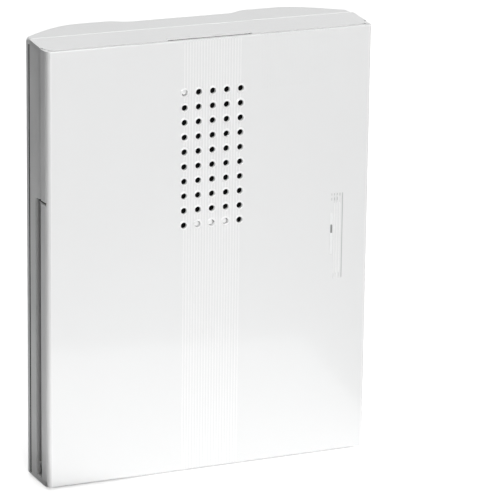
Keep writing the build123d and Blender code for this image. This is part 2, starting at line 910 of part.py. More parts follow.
# Thin black cloth over the loudspeaker's opening
with BuildPart() as sound_cloth:
    with BuildSketch(depth_plane(web_front)):
        with Locations((0, grille_z)):
            Rectangle(
                sound_opening_width + 2 * cloth_margin,
                sound_opening_height + 2 * cloth_margin,
            )
    extrude(amount=cloth_thickness)
finish(sound_cloth, "sound_cloth")

# Loudspeaker: foam ring against the web
with BuildPart() as speaker_gasket:
    with BuildSketch(depth_plane(web_back)):
        with Locations((0, grille_z)):
            Circle(speaker_radius)
            Circle(speaker_radius - gasket_ring, mode=Mode.SUBTRACT)
    extrude(amount=-gasket_thickness)
finish(speaker_gasket, "speaker_gasket")

# Loudspeaker basket
with BuildPart() as speaker_frame:
    flange_inner = speaker_radius - flange_width
    gap_radius = pole_radius + gap_width
    with BuildSketch(plan_plane(grille_z)):
        with BuildLine():
            Polyline(
                (flange_inner, flange_front),
                (speaker_radius, flange_front),
                (speaker_radius, flange_back),
                (flange_inner + flange_thickness, flange_back),
                (basket_foot_radius + flange_thickness, foot_depth),
                (gap_radius, foot_depth),
                (gap_radius, foot_depth - flange_thickness),
                (basket_foot_radius, foot_depth - flange_thickness),
                close=True,
            )
        make_face()
    revolve(axis=speaker_axis)
    with BuildSketch(depth_plane(flange_back + basket_window_inset)):
        with Locations((0, grille_z)):
            with PolarLocations(speaker_radius, 4, start_angle=45):
                Rectangle(speaker_radius, basket_window_width)
    extrude(amount=-(basket_depth - 2 * basket_window_inset), mode=Mode.SUBTRACT)
finish(speaker_frame, "speaker_frame")

# Front pole plate, ring magnet and yoke
with BuildPart() as speaker_top_plate:
    with BuildSketch(depth_plane(foot_depth)):
        with Locations((0, grille_z)):
            Circle(yoke_radius)
            Circle(gap_radius, mode=Mode.SUBTRACT)
    extrude(amount=-top_plate_thickness)
finish(speaker_top_plate, "speaker_top_plate")

with BuildPart() as speaker_magnet:
    with BuildSketch(depth_plane(magnet_front)):
        with Locations((0, grille_z)):
            Circle(magnet_radius)
            Circle(magnet_bore_radius, mode=Mode.SUBTRACT)
    extrude(amount=-magnet_thickness)
    fillet(magnet_rims(speaker_magnet), radius=magnet_edge)
finish(speaker_magnet, "speaker_magnet")

with BuildPart() as speaker_yoke:
    with BuildSketch(depth_plane(yoke_front)):
        with Locations((0, grille_z)):
            Circle(yoke_radius)
    extrude(amount=-yoke_thickness)
    with BuildSketch(depth_plane(yoke_front)):
        with Locations((0, grille_z)):
            Circle(pole_radius)
    extrude(amount=yoke_front - foot_depth)
finish(speaker_yoke, "speaker_yoke")

# Rubber roll that carries the cone's rim
with BuildPart() as speaker_surround:
    roll_radius = (surround_width - cone_clear) / 2
    roll_middle = cone_rim_radius + cone_clear + roll_radius
    with BuildSketch(plan_plane(grille_z)):
        with Locations((roll_middle, flange_front)):
            Circle(roll_radius)
            Circle(roll_radius - surround_skin, mode=Mode.SUBTRACT)
        with Locations((roll_middle, flange_front)):
            Rectangle(
                surround_width,
                surround_width,
                align=(Align.CENTER, Align.MIN),
                mode=Mode.SUBTRACT,
            )
        with Locations((roll_middle + roll_radius - surround_skin, flange_front)):
            Rectangle(surround_foot, surround_skin, align=(Align.MIN, Align.MAX))
    revolve(axis=speaker_axis)
finish(speaker_surround, "speaker_surround")

# Paper cone, voice coil and dust cap, which move together
with BuildPart() as speaker_cone:
    with BuildSketch(plan_plane(grille_z)):
        with BuildLine():
            Polyline(
                (cone_rim_radius, flange_front),
                (cone_rim_radius, flange_front + cone_thickness),
                (coil_outer, flange_front + cone_depth + cone_thickness),
                (coil_outer, flange_front + cone_depth),
                close=True,
            )
        make_face()
    revolve(axis=speaker_axis)
finish(speaker_cone, "speaker_cone")

with BuildPart() as voice_coil:
    coil_front = flange_front + cone_depth
    with BuildSketch(depth_plane(coil_front)):
        with Locations((0, grille_z)):
            Circle(coil_outer)
            Circle(coil_inner, mode=Mode.SUBTRACT)
    extrude(amount=-(magnet_front + coil_overhang - coil_front))
finish(voice_coil, "voice_coil")

with BuildPart() as dust_cap:
    cone_slope = cone_depth / (cone_rim_radius - coil_outer)
    cap_base = flange_front + (cone_rim_radius - dust_cap_radius) * cone_slope
    cap_crest = cap_base - dust_cap_height
    with BuildSketch(plan_plane(grille_z)):
        with BuildLine():
            TangentArc(
                (0, cap_crest - cone_thickness),
                (dust_cap_radius, cap_base - cone_thickness),
                tangent=(1, 0),
            )
            Line((dust_cap_radius, cap_base - cone_thickness), (dust_cap_radius, cap_base))
            TangentArc((0, cap_crest), (dust_cap_radius, cap_base), tangent=(1, 0))
            Line((0, cap_crest), (0, cap_crest - cone_thickness))
        make_face()
    revolve(axis=speaker_axis)
finish(dust_cap, "dust_cap")

# Round clips and screws that hold the loudspeaker on its posts
with BuildPart() as speaker_clips:
    with BuildSketch(depth_plane(flange_back)):
        with Locations(*speaker_post_places):
            Circle(clip_radius)
            Circle(small_screw_radius + screw_clear, mode=Mode.SUBTRACT)
    extrude(amount=-clip_thickness)
finish(speaker_clips, "speaker_clips")

with BuildPart() as speaker_screws:
    clip_back = flange_back + clip_thickness
    with BuildSketch(depth_plane(clip_back)):
        with Locations(*speaker_post_places):
            Circle(small_head_radius)
    extrude(amount=-small_head_height)
    with BuildSketch(depth_plane(clip_back)):
        with Locations(*speaker_post_places):
            Circle(small_screw_radius)
    extrude(amount=clip_back - web_back)
    with BuildSketch(depth_plane(clip_back + small_head_height)):
        with Locations(*speaker_post_places):
            Rectangle(small_head_radius, small_slot)
            Rectangle(small_slot, small_head_radius)
    extrude(amount=small_slot, mode=Mode.SUBTRACT)
finish(speaker_screws, "speaker_screws")

# Terminal strip of the loudspeaker
with BuildPart() as speaker_terminal:
    with BuildSketch(depth_plane(flange_back)):
        with Locations((0, grille_z)):
            with PolarLocations(speaker_radius, 1, start_angle=terminal_angle):
                Rectangle(terminal_width, terminal_length)
    extrude(amount=-terminal_thickness)
finish(speaker_terminal, "speaker_terminal")

# Receiver board, with a tail beside the cells for the lamp
with BuildPart() as circuit_board:
    with BuildSketch(depth_plane(board_front)):
        with Locations((board_left, board_bottom)):
            Rectangle(
                board_right - board_left,
                board_top - board_bottom,
                align=(Align.MIN, Align.MIN),
            )
        with Locations((board_tail_left, board_tail_bottom)):
            Rectangle(
                board_right - board_tail_left,
                board_top - board_tail_bottom,
                align=(Align.MIN, Align.MIN),
            )
        with Locations(*board_screw_places):
            Circle(small_screw_radius + screw_clear, mode=Mode.SUBTRACT)
    extrude(amount=-board_thickness)
finish(circuit_board, "circuit_board")

with BuildPart() as board_screws:
    with BuildSketch(depth_plane(board_back)):
        with Locations(*board_screw_places):
            Circle(small_head_radius)
    extrude(amount=-small_head_height)
    with BuildSketch(depth_plane(board_back)):
        with Locations(*board_screw_places):
            Circle(small_screw_radius)
    extrude(amount=board_back - web_back - seat_clear)
    with BuildSketch(depth_plane(board_back + small_head_height)):
        with Locations(*board_screw_places):
            Rectangle(small_head_radius, small_slot)
            Rectangle(small_slot, small_head_radius)
    extrude(amount=small_slot, mode=Mode.SUBTRACT)
finish(board_screws, "board_screws")

# Lamp behind the light guide
with BuildPart() as indicator_lamp:
    with BuildSketch(depth_plane(board_front)):
        with Locations((lamp_x, window_z)):
            Circle(lamp_flange_radius)
    extrude(amount=lamp_flange)
    with BuildSketch(depth_plane(board_front)):
        with Locations((lamp_x, window_z)):
            Circle(lamp_radius)
    extrude(amount=lamp_height)
    fillet(indicator_lamp.faces().sort_by(Axis.Y)[0].edges(), radius=lamp_radius * dome_share)
finish(indicator_lamp, "indicator_lamp")

# Two push switches and their caps
switch_front = board_front - switch_height
for name, place in button_places.items():
    with BuildPart() as switch:
        with BuildSketch(depth_plane(board_front)):
            with Locations(place):
                Rectangle(switch_size, switch_size)
        extrude(amount=switch_height)
        with BuildSketch(depth_plane(switch_front)):
            with Locations(place):
                Circle(button_stem_radius + stem_clear)
        extrude(amount=-(button_stem_length + 2 * button_travel), mode=Mode.SUBTRACT)
    finish(switch, name + "_switch")
    with BuildPart() as button:
        cap_front = web_front + button_rise
        cap_back = switch_front - button_travel - stem_clear
        with BuildSketch(depth_plane(cap_front)):
            with Locations(place):
                Circle(button_radius)
        extrude(amount=-(cap_back - cap_front))
        fillet(button.faces().sort_by(Axis.Y)[0].edges(), radius=button_rise)
        with BuildSketch(depth_plane(cap_back)):
            with Locations(place):
                Circle(button_stem_radius)
        extrude(amount=-(switch_front + button_stem_length - cap_back))
    finish(button, name + "_button")

# Three-position volume switch and its knob
volume_front = board_front - volume_depth
volume_slot = volume_knob_width + 2 * (volume_travel + volume_clear)
with BuildPart() as volume_switch:
    with BuildSketch(depth_plane(board_front)):
        with Locations((volume_x, volume_z)):
            Rectangle(volume_body_width, volume_body_height)
    extrude(amount=volume_depth)
    with BuildSketch(depth_plane(volume_front)):
        with Locations((volume_x, volume_z)):
            Rectangle(volume_slot, volume_stem_height + 2 * stem_clear)
    extrude(amount=-(volume_stem_length + stem_clear), mode=Mode.SUBTRACT)
finish(volume_switch, "volume_switch")

with BuildPart() as volume_slider:
    knob_front = web_front + button_rise
    knob_back = volume_front - volume_clear
    with BuildSketch(depth_plane(knob_front)):
        with Locations((volume_x, volume_z)):
            Rectangle(volume_knob_width, volume_knob_height)
    extrude(amount=-(knob_back - knob_front))
    chamfer(volume_slider.faces().sort_by(Axis.Y)[0].edges(), length=button_rise)
    with BuildSketch(depth_plane(knob_back)):
        with Locations((volume_x, volume_z)):
            Rectangle(volume_knob_width, volume_stem_height)
    extrude(amount=-(volume_front + volume_stem_length - knob_back))
finish(volume_slider, "volume_slider")

# Radio daughter board on its pins, with a metal can
module_front = board_back + module_standoff
module_back = module_front + module_thickness
with BuildPart() as receiver_module:
    with BuildSketch(depth_plane(module_front)):
        with Locations((module_x, module_z)):
            Rectangle(module_width, module_height)
    extrude(amount=-module_thickness)
finish(receiver_module, "receiver_module")

with BuildPart() as module_pins:
    with BuildSketch(depth_plane(board_back)):
        with Locations((module_x, module_z - module_height / 2 + pin_pitch / 2)):
            with GridLocations(pin_pitch, 0, pin_count, 1):
                Circle(pin_radius)
    extrude(amount=-module_standoff)
finish(module_pins, "module_pins")

with BuildPart() as shield_can:
    with BuildSketch(depth_plane(module_back)):
        with Locations((module_x, module_z + shield_rise)):
            Rectangle(shield_width, shield_height)
    extrude(amount=-shield_depth)
    chamfer(shield_can.faces().sort_by(Axis.Y)[-1].edges(), length=shield_edge)
finish(shield_can, "shield_can")

# Parts soldered to the back of the board
with BuildPart() as sound_chip:
    with BuildSketch(depth_plane(board_back)):
        with Locations((chip_x, chip_z)):
            Rectangle(chip_width, chip_height)
    extrude(amount=-chip_depth)
finish(sound_chip, "sound_chip")

with BuildPart() as small_chips:
    with BuildSketch(depth_plane(board_back)):
        with Locations(*[(small_chip_x, chip_z + step * small_chip_step) for step in (-1, 0)]):
            Rectangle(small_chip_width, small_chip_height)
    extrude(amount=-small_chip_depth)
finish(small_chips, "small_chips")

with BuildPart() as capacitors:
    with BuildSketch(depth_plane(board_back)):
        with Locations(*[(capacitor_x, chip_z + step * capacitor_step) for step in (-1, 0, 1)]):
            Circle(capacitor_radius)
    extrude(amount=-capacitor_length)
    fillet(capacitors.faces().filter_by(Axis.Y).edges(), radius=capacitor_edge)
finish(capacitors, "capacitors")

with BuildPart() as crystal_can:
    with BuildSketch(depth_plane(board_back)):
        with Locations((crystal_x, crystal_z)):
            SlotOverall(crystal_width, crystal_height)
    extrude(amount=-crystal_depth)
    fillet(crystal_can.faces().sort_by(Axis.Y)[-1].edges(), radius=button_rise)
finish(crystal_can, "crystal_can")

# Wires
def wire_points(points):
    """Turn points given by across, depth and height above the middle into places."""
    return [(across, at_depth(depth), case_middle + rise) for across, depth, rise in points]


tag_x = lobe_x - tag_shift
with BuildPart() as battery_lead_negative:
    points = [(tag_x, lead_depth, tag_top - case_middle)]
    points += [(across, lead_depth, height) for across, height in negative_lead_route]
    points += [(points[-1][0], board_front, points[-1][-1])]
    add(bent_wire(wire_points(points), lead_radius))
finish(battery_lead_negative, "battery_lead_negative")

with BuildPart() as battery_lead_positive:
    points = [(-tag_x, lead_depth, tag_top - case_middle)]
    points += [(across, lead_depth, height) for across, height in positive_lead_route]
    points += [(points[-1][0], board_front, points[-1][-1])]
    add(bent_wire(wire_points(points), lead_radius))
finish(battery_lead_positive, "battery_lead_positive")

with BuildPart() as speaker_leads:
    terminal_back = flange_back + terminal_thickness
    for route in speaker_lead_routes:
        points = [(route[0][0], terminal_back, route[0][-1])]
        points += [(route[0][0], terminal_back + speaker_lead_rise, route[0][-1])]
        points += [(across, speaker_lead_depth, height) for across, height in route[1:]]
        points += [(route[-1][0], board_front, route[-1][-1])]
        add(bent_wire(wire_points(points), lead_radius))
finish(speaker_leads, "speaker_leads")

with BuildPart() as aerial:
    points = [(aerial_route[0][0], board_front, aerial_route[0][-1])]
    points += [(across, lead_depth, height) for across, height in aerial_route]
    add(bent_wire(wire_points(points), aerial_radius))
finish(aerial, "aerial")
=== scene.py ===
"""Looks of the doorbell chime box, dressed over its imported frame."""

import json
import math

import bpy
import bmesh
from mathutils import Matrix, Vector


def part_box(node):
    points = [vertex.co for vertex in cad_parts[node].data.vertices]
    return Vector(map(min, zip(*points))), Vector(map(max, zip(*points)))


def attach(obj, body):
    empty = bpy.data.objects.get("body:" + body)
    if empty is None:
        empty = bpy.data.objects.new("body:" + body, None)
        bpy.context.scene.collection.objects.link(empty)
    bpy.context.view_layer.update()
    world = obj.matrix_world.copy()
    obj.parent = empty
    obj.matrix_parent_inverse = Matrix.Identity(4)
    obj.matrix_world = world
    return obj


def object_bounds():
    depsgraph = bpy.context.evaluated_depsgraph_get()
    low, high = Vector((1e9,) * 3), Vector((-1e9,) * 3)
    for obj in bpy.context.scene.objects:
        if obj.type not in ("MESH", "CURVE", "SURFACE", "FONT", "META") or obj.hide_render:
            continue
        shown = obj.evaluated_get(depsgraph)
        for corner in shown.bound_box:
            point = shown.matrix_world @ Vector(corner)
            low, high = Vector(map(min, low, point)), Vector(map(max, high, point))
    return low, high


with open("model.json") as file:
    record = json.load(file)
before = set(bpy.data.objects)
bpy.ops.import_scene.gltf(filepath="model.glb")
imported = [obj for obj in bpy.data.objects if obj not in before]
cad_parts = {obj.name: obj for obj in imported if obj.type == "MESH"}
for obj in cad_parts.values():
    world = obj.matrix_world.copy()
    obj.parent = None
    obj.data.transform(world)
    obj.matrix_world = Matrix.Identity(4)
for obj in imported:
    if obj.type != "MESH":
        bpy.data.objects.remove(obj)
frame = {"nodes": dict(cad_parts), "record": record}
cad_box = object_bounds()
scene = bpy.context.scene
scene.view_settings.view_transform = "Standard"
MM = 0.001

SHELL_HALF = cad_box[1][0]
TOP_Z = cad_box[1][2]
SIDES = (-1, 1)


# Materials: noise scales are per metre, reliefs and pitches in metres


CLOUD_SCALE = 22.0
PATCH_SCALE = 60.0
METAL_PATCH_SCALE = 180.0
METAL_RELIEF = 0.00001
METAL_SHARES = (0.86, 1.06)
COAT_ROUGHNESS = 0.04
CLOTH_SHARES = (0.6, 1.4)
CLOTH_WAVER = 0.4
CELL_END_FACING = 0.95
CELL_DARK = (0.018, 0.018, 0.02)
CELL_PALE = (0.03, 0.03, 0.033)
CELL_END = (0.62, 0.60, 0.57)
CELL_RELIEF = 0.00001


def new_material(name):
    material = bpy.data.materials.new(name)
    material.use_nodes = True
    tree = material.node_tree
    return material, tree, tree.nodes["Principled BSDF"]


def node(tree, kind, **values):
    """New node with its inputs or its settings set by name."""
    made = tree.nodes.new(kind)
    for key, value in values.items():
        if key in made.inputs:
            made.inputs[key].default_value = value
        else:
            setattr(made, key, value)
    return made


def noise(tree, scale, detail=2.0, roughness=0.5):
    where = tree.nodes.new("ShaderNodeTexCoord")
    made = node(tree, "ShaderNodeTexNoise", Scale=scale, Detail=detail, Roughness=roughness)
    tree.links.new(where.outputs["Object"], made.inputs["Vector"])
    return made.outputs["Fac"]


def spread(tree, fac, low, high, start=0.3, end=0.7):
    """Values from start to end, spread over low to high."""
    made = node(tree, "ShaderNodeMapRange")
    made.inputs["From Min"].default_value = start
    made.inputs["From Max"].default_value = end
    made.inputs["To Min"].default_value = low
    made.inputs["To Max"].default_value = high
    tree.links.new(fac, made.inputs["Value"])
    return made.outputs["Result"]


def blend_colour(tree, fac, first, second):
    made = tree.nodes.new("ShaderNodeMix")
    made.data_type = "RGBA"
    for socket, colour in ((made.inputs[6], first), (made.inputs[7], second)):
        if isinstance(colour, tuple):
            socket.default_value = (*colour, 1.0)
        else:
            tree.links.new(colour, socket)
    tree.links.new(fac, made.inputs[0])
    return made.outputs[2]


def shade(colour, share):
    return tuple(min(1.0, channel * share) for channel in colour)


def bump(tree, bsdf, height, distance):
    made = node(tree, "ShaderNodeBump", Strength=1.0, Distance=distance)
    tree.links.new(height, made.inputs["Height"])
    tree.links.new(made.outputs["Normal"], bsdf.inputs["Normal"])


def moulded(name, colour, rough, grain, relief, cloud=0.02, coat=0.0, specular=0.5):
    """Moulded plastic: faint clouding, uneven gloss and a fine eroded grain."""
    material, tree, bsdf = new_material(name)
    tint = spread(tree, noise(tree, CLOUD_SCALE, detail=3.0), 0.0, 1.0)
    mixed = blend_colour(tree, tint, shade(colour, 1 - cloud), shade(colour, 1 + cloud / 3))
    tree.links.new(mixed, bsdf.inputs["Base Color"])
    patch = spread(tree, noise(tree, PATCH_SCALE, detail=4.0), rough[0], rough[1])
    tree.links.new(patch, bsdf.inputs["Roughness"])
    bump(tree, bsdf, noise(tree, grain, detail=4.0, roughness=0.6), relief)
    bsdf.inputs["Coat Weight"].default_value = coat
    bsdf.inputs["Coat Roughness"].default_value = COAT_ROUGHNESS
    bsdf.inputs["Specular IOR Level"].default_value = specular
    return material


def metal(name, colour, rough, grain=2500.0):
    """Plated or bare metal with a fine grain and duller patches."""
    material, tree, bsdf = new_material(name)
    fine = noise(tree, grain, detail=3.0)
    tint = spread(tree, fine, 0.0, 1.0)
    mixed = blend_colour(tree, tint, *(shade(colour, share) for share in METAL_SHARES))
    tree.links.new(mixed, bsdf.inputs["Base Color"])
    patch = spread(tree, noise(tree, METAL_PATCH_SCALE, detail=3.0), rough[0], rough[1])
    tree.links.new(patch, bsdf.inputs["Roughness"])
    bsdf.inputs["Metallic"].default_value = 1.0
    bump(tree, bsdf, fine, METAL_RELIEF)
    return material


def woven(name, colour, pitch, relief):
    """Plain woven cloth from two crossed waves."""
    material, tree, bsdf = new_material(name)
    where = tree.nodes.new("ShaderNodeTexCoord")
    threads = []
    for direction in ("X", "Z"):
        wave = node(tree, "ShaderNodeTexWave", Scale=1.0 / pitch, Distortion=CLOTH_WAVER)
        wave.bands_direction = direction
        tree.links.new(where.outputs["Object"], wave.inputs["Vector"])
        threads.append(wave.outputs["Fac"])
    both = node(tree, "ShaderNodeMath", operation="MULTIPLY")
    tree.links.new(threads[0], both.inputs[0])
    tree.links.new(threads[1], both.inputs[1])
    mixed = blend_colour(tree, both.outputs[0], *(shade(colour, share) for share in CLOTH_SHARES))
    tree.links.new(mixed, bsdf.inputs["Base Color"])
    bsdf.inputs["Roughness"].default_value = 0.95
    bsdf.inputs["Specular IOR Level"].default_value = 0.1
    bump(tree, bsdf, both.outputs[0], relief)
    return material


def cell_look(name):
    """Dark shrink jacket, with bright metal on the faces that look straight up or down."""
    material, tree, bsdf = new_material(name)
    face = tree.nodes.new("ShaderNodeNewGeometry")
    apart = tree.nodes.new("ShaderNodeSeparateXYZ")
    tree.links.new(face.outputs["Normal"], apart.inputs["Vector"])
    facing = node(tree, "ShaderNodeMath", operation="ABSOLUTE")
    tree.links.new(apart.outputs["Z"], facing.inputs[0])
    ends = node(tree, "ShaderNodeMath", operation="GREATER_THAN")
    ends.inputs[1].default_value = CELL_END_FACING
    tree.links.new(facing.outputs[0], ends.inputs[0])
    cloud = spread(tree, noise(tree, 90.0, detail=3.0), 0.0, 1.0)
    jacket = blend_colour(tree, cloud, CELL_DARK, CELL_PALE)
    whole = blend_colour(tree, ends.outputs[0], jacket, CELL_END)
    tree.links.new(whole, bsdf.inputs["Base Color"])
    tree.links.new(ends.outputs[0], bsdf.inputs["Metallic"])
    tree.links.new(spread(tree, noise(tree, 400.0), 0.22, 0.34), bsdf.inputs["Roughness"])
    bump(tree, bsdf, noise(tree, 1200.0), CELL_RELIEF)
    return material


WHITE = (0.86, 0.865, 0.865)
GLOSS = (0.90, 0.905, 0.905)

# Colour, roughness range, grain scale, relief, clouding, clear coat and specular level
PLASTICS = {
    "gloss_plate": (GLOSS, (0.10, 0.16), 900.0, 0.000002, 0.006, 0.6),
    # A lighter copy of the plate's gloss, a painted highlight: rims, hole walls and stops, line
    # floors, plate edges, the joint's top and the lips
    "painted_highlight_white": ((0.99, 0.99, 0.99), (0.10, 0.16), 900.0, 0.000002, 0.004, 0.6),
    "mark_grey": ((0.56, 0.57, 0.57), (0.3, 0.4), 900.0, 0.000002, 0.04),
    "window_grey": ((0.24, 0.245, 0.245), (0.12, 0.2), 900.0, 0.000002, 0.05, 0.4),
    # Near black, painted shade: inside the open holes, in the side joints, the pry recess and the
    # strip's gap
    "joint_shade": ((0.02, 0.02, 0.02), (0.7, 0.8), 3200.0, 0.00002, 0.05, 0.0, 0.05),
    # Mid grey, painted shade on the groove's rear wall
    "groove_painted_shade": ((0.44, 0.44, 0.44), (0.6, 0.7), 3200.0, 0.00002, 0.04, 0.0, 0.2),
    "band_copper": ((0.50, 0.24, 0.10), (0.22, 0.34), 1400.0, 0.00001, 0.08, 0.3),
    "track_green": ((0.03, 0.24, 0.09), (0.22, 0.34), 1500.0, 0.00002, 0.2, 0.3),
    "shell_plastic": (WHITE, (0.46, 0.58), 3200.0, 0.00003, 0.012),
    "cover_plastic": (WHITE, (0.46, 0.58), 3200.0, 0.00003, 0.012),
    "foam_tape": ((0.80, 0.80, 0.77), (0.85, 0.95), 2600.0, 0.0001, 0.06),
    "gasket_foam": ((0.03, 0.03, 0.03), (0.9, 1.0), 2200.0, 0.0002, 0.2),
    "ferrite": ((0.06, 0.06, 0.062), (0.45, 0.7), 1600.0, 0.00008, 0.2),
    "cone_paper": ((0.025, 0.025, 0.026), (0.75, 0.9), 1400.0, 0.0001, 0.3),
    "roll_rubber": ((0.02, 0.02, 0.02), (0.5, 0.65), 1200.0, 0.00003, 0.2),
    "board_laminate": ((0.02, 0.16, 0.06), (0.25, 0.4), 1500.0, 0.00003, 0.3, 0.3),
    "terminal_laminate": ((0.30, 0.16, 0.07), (0.5, 0.6), 1800.0, 0.00004, 0.3),
    "chip_black": ((0.018, 0.018, 0.02), (0.45, 0.6), 3500.0, 0.00003, 0.2),
    "capacitor_sleeve": ((0.02, 0.03, 0.10), (0.25, 0.35), 900.0, 0.00001, 0.1),
    "switch_black": ((0.02, 0.02, 0.022), (0.4, 0.55), 2600.0, 0.00002, 0.15),
    "button_grey": ((0.20, 0.21, 0.22), (0.4, 0.5), 2600.0, 0.00002, 0.06),
    "wire_black": ((0.02, 0.02, 0.02), (0.3, 0.45), 1500.0, 0.00002, 0.2),
    "wire_red": ((0.50, 0.02, 0.015), (0.3, 0.45), 1500.0, 0.00002, 0.1),
    "wire_white": ((0.75, 0.75, 0.72), (0.3, 0.45), 1500.0, 0.00002, 0.04),
    "lamp_lens": ((0.50, 0.78, 0.54), (0.08, 0.15), 600.0, 0.00001, 0.05),
    "clear_guide": ((0.98, 0.99, 0.99), (0.18, 0.28), 1800.0, 0.00001, 0.01),
}

# Colour, roughness range and grain scale where it isn't the usual one
METALS = {
    "spring_steel": ((0.62, 0.60, 0.56), (0.18, 0.3)),
    "contact_steel": ((0.66, 0.64, 0.60), (0.22, 0.38), 1500.0),
    "screw_steel": ((0.58, 0.57, 0.54), (0.28, 0.42)),
    "speaker_steel": ((0.52, 0.52, 0.51), (0.3, 0.48), 1200.0),
    "tin_can": ((0.64, 0.63, 0.60), (0.2, 0.35), 1400.0),
    "pin_steel": ((0.66, 0.58, 0.36), (0.2, 0.3)),
    "coil_copper": ((0.62, 0.26, 0.10), (0.25, 0.35), 3000.0),
}

LOOKS = {name: moulded(name, *values) for name, values in PLASTICS.items()}
LOOKS.update({name: metal(name, *values) for name, values in METALS.items()})
LOOKS["black_cloth"] = woven("black_cloth", (0.012, 0.012, 0.012), 0.0006, 0.0001)
LOOKS["cell_jacket"] = cell_look("cell_jacket")

for row in frame["record"]["subparts"]:
    dressed = frame["nodes"][row["node"]]
    if not dressed.material_slots:
        dressed.data.materials.append(LOOKS[row["material_slot"]])
    for holder in dressed.material_slots:
        holder.material = LOOKS[row["material_slot"]]


# Shapes of the detail pieces


def keep_piece(name, shape, look, body):
    """Piece from a finished shape, which is freed; it rides on a body."""
    mesh = bpy.data.meshes.new(name)
    bmesh.ops.recalc_face_normals(shape, faces=shape.faces)
    shape.to_mesh(mesh)
    shape.free()
    made = bpy.data.objects.new(name, mesh)
    scene.collection.objects.link(made)
    mesh.materials.append(LOOKS[look])
    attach(made, body)


def in_metres(pairs):
    return [(first * MM, second * MM) for first, second in pairs]


def place_on(axis, centre, along, across, lift):
    """Point at a distance along an axis through a centre; the other two follow in turn."""
    if axis == "Y":
        return Vector((centre[0] + across, centre[1] + along, centre[2] + lift))
    return Vector((centre[0] + across, centre[1] + lift, centre[2] + along))


def turned(shape, centre, axis, profile, sides):
    """Closed ring from a profile of (along, radius) pairs turned about an axis."""
    rows = []
    for step in range(sides):
        angle = 2 * math.pi * step / sides
        cosine, sine = math.cos(angle), math.sin(angle)
        rows.append(
            [
                shape.verts.new(place_on(axis, centre, along, radius * cosine, radius * sine))
                for along, radius in profile
            ]
        )
    for step in range(sides):
        here, there = rows[step], rows[(step + 1) % sides]
        for spot in range(len(profile)):
            after = (spot + 1) % len(profile)
            shape.faces.new((here[spot], here[after], there[after], there[spot]))


# Shares of a dome's height and radius, ring by ring
DOME_RINGS = ((0.0, 1.0), (0.45, 0.86), (0.80, 0.52), (0.96, 0.22))
DOME_SIDES = 12


def dome(shape, centre, radius, height):
    """Low dome on a board face, towards the wall or, with a negative height, away from it."""
    rings = []
    for rise_share, radius_share in DOME_RINGS:
        ring = []
        for step in range(DOME_SIDES):
            angle = 2 * math.pi * step / DOME_SIDES
            across = radius * radius_share * math.cos(angle)
            lift = radius * radius_share * math.sin(angle)
            ring.append(
                shape.verts.new(place_on("Y", centre, height * rise_share, across, lift))
            )
        rings.append(ring)
    for lower, upper in zip(rings, rings[1:]):
        for step in range(DOME_SIDES):
            after = (step + 1) % DOME_SIDES
            face = shape.faces.new((lower[step], lower[after], upper[after], upper[step]))
            face.smooth = True
    shape.faces.new(rings[0])
    shape.faces.new(rings[-1])


def block(shape, one, other, edge=0.0):
    """Block between two opposite corners, with its edges broken where a width is given."""
    made = bmesh.ops.create_cube(shape, size=1.0)["verts"]
    middle_point = [(a + b) / 2 for a, b in zip(one, other)]
    size = [abs(b - a) for a, b in zip(one, other)]
    for vert in made:
        vert.co = Vector([middle_point[k] + vert.co[k] * size[k] for k in range(3)])
    if edge:
        edges = list({line for vert in made for line in vert.link_edges})
        bmesh.ops.bevel(shape, geom=edges, offset=edge, segments=2, affect="EDGES")


def block_piece(name, one, other, look, body, edge=0.0):
    """Piece that is one block."""
    shape = bmesh.new()
    block(shape, one, other, edge)
    keep_piece(name, shape, look, body)


def loft(shape, first, last):
    """Closed solid between two outlines that have the same number of points."""
    first, last = [[shape.verts.new(place) for place in row] for row in (first, last)]
    shape.faces.new(first)
    shape.faces.new(last)
    for spot in range(len(first)):
        after = (spot + 1) % len(first)
        shape.faces.new((first[spot], first[after], last[after], last[spot]))


def track(shape, points, width, low_y, high_y):
    """Flat track along upright points, a block for each run."""
    for (x0, z0), (x1, z1) in zip(points, points[1:]):
        along = Vector((x1 - x0, z1 - z0))
        side = Vector((-along.y, along.x)).normalized() * width / 2
        ends = ((x0, z0, 1), (x1, z1, 1), (x1, z1, -1), (x0, z0, -1))
        rows = [
            [(x + turn * side.x, y, z + turn * side.y) for x, z, turn in ends]
            for y in (low_y, high_y)
        ]
        loft(shape, *rows)


# Front plate: rims and insides of the sound holes, fine lines and indicator


plate_low, plate_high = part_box("front_plate")
face_y = plate_low[1]


def bar(shape, x, half, front, back, low, high):
    """Upright bar about x; its front and its back are depths from the plate's face."""
    block(shape, (x - half, face_y + front, low), (x + half, face_y + back, high))


HOLE_PITCH = 6.0 * MM
HOLE_COLUMNS = 5
HOLE_ROWS = 10
HOLE_SIDES = 28
GRILLE_Z = 131.2 * MM

# Rings of a hole as (depth, radius) in millimetres; a negative depth is in front of the plate
RIM = [
    (0.02, 2.06),
    (-0.16, 1.84),
    (-0.29, 1.54),
    (-0.32, 1.36),
    (-0.26, 1.24),
    (0.34, 1.23),
    (0.34, 1.60),
]
SLEEVE = [(0.70, 1.24), (3.60, 1.24), (3.60, 1.05), (0.80, 1.14)]
WALL = [(0.22, 1.24), (0.75, 1.24), (0.75, 1.19), (0.34, 1.20)]
STOP = [(0.90, 0.98), (1.10, 0.98), (1.10, 0.02), (0.90, 0.02)]

# Column and row of the holes that look closed, with the stop's shift across and up
CLOSED = {
    (0, 9): (0.15 * MM, 0.175 * MM),
    (1, 0): (0.025 * MM, 0.0),
    (2, 0): (0.0, 0.0),
    (3, 0): (0.0, 0.0),
}


def row_height(row):
    """Height of a row of sound holes."""
    return GRILLE_Z + (row - (HOLE_ROWS - 1) / 2) * HOLE_PITCH


def hole_ring(shape, x, z, profile):
    turned(shape, (x, face_y, z), "Y", in_metres(profile), HOLE_SIDES)


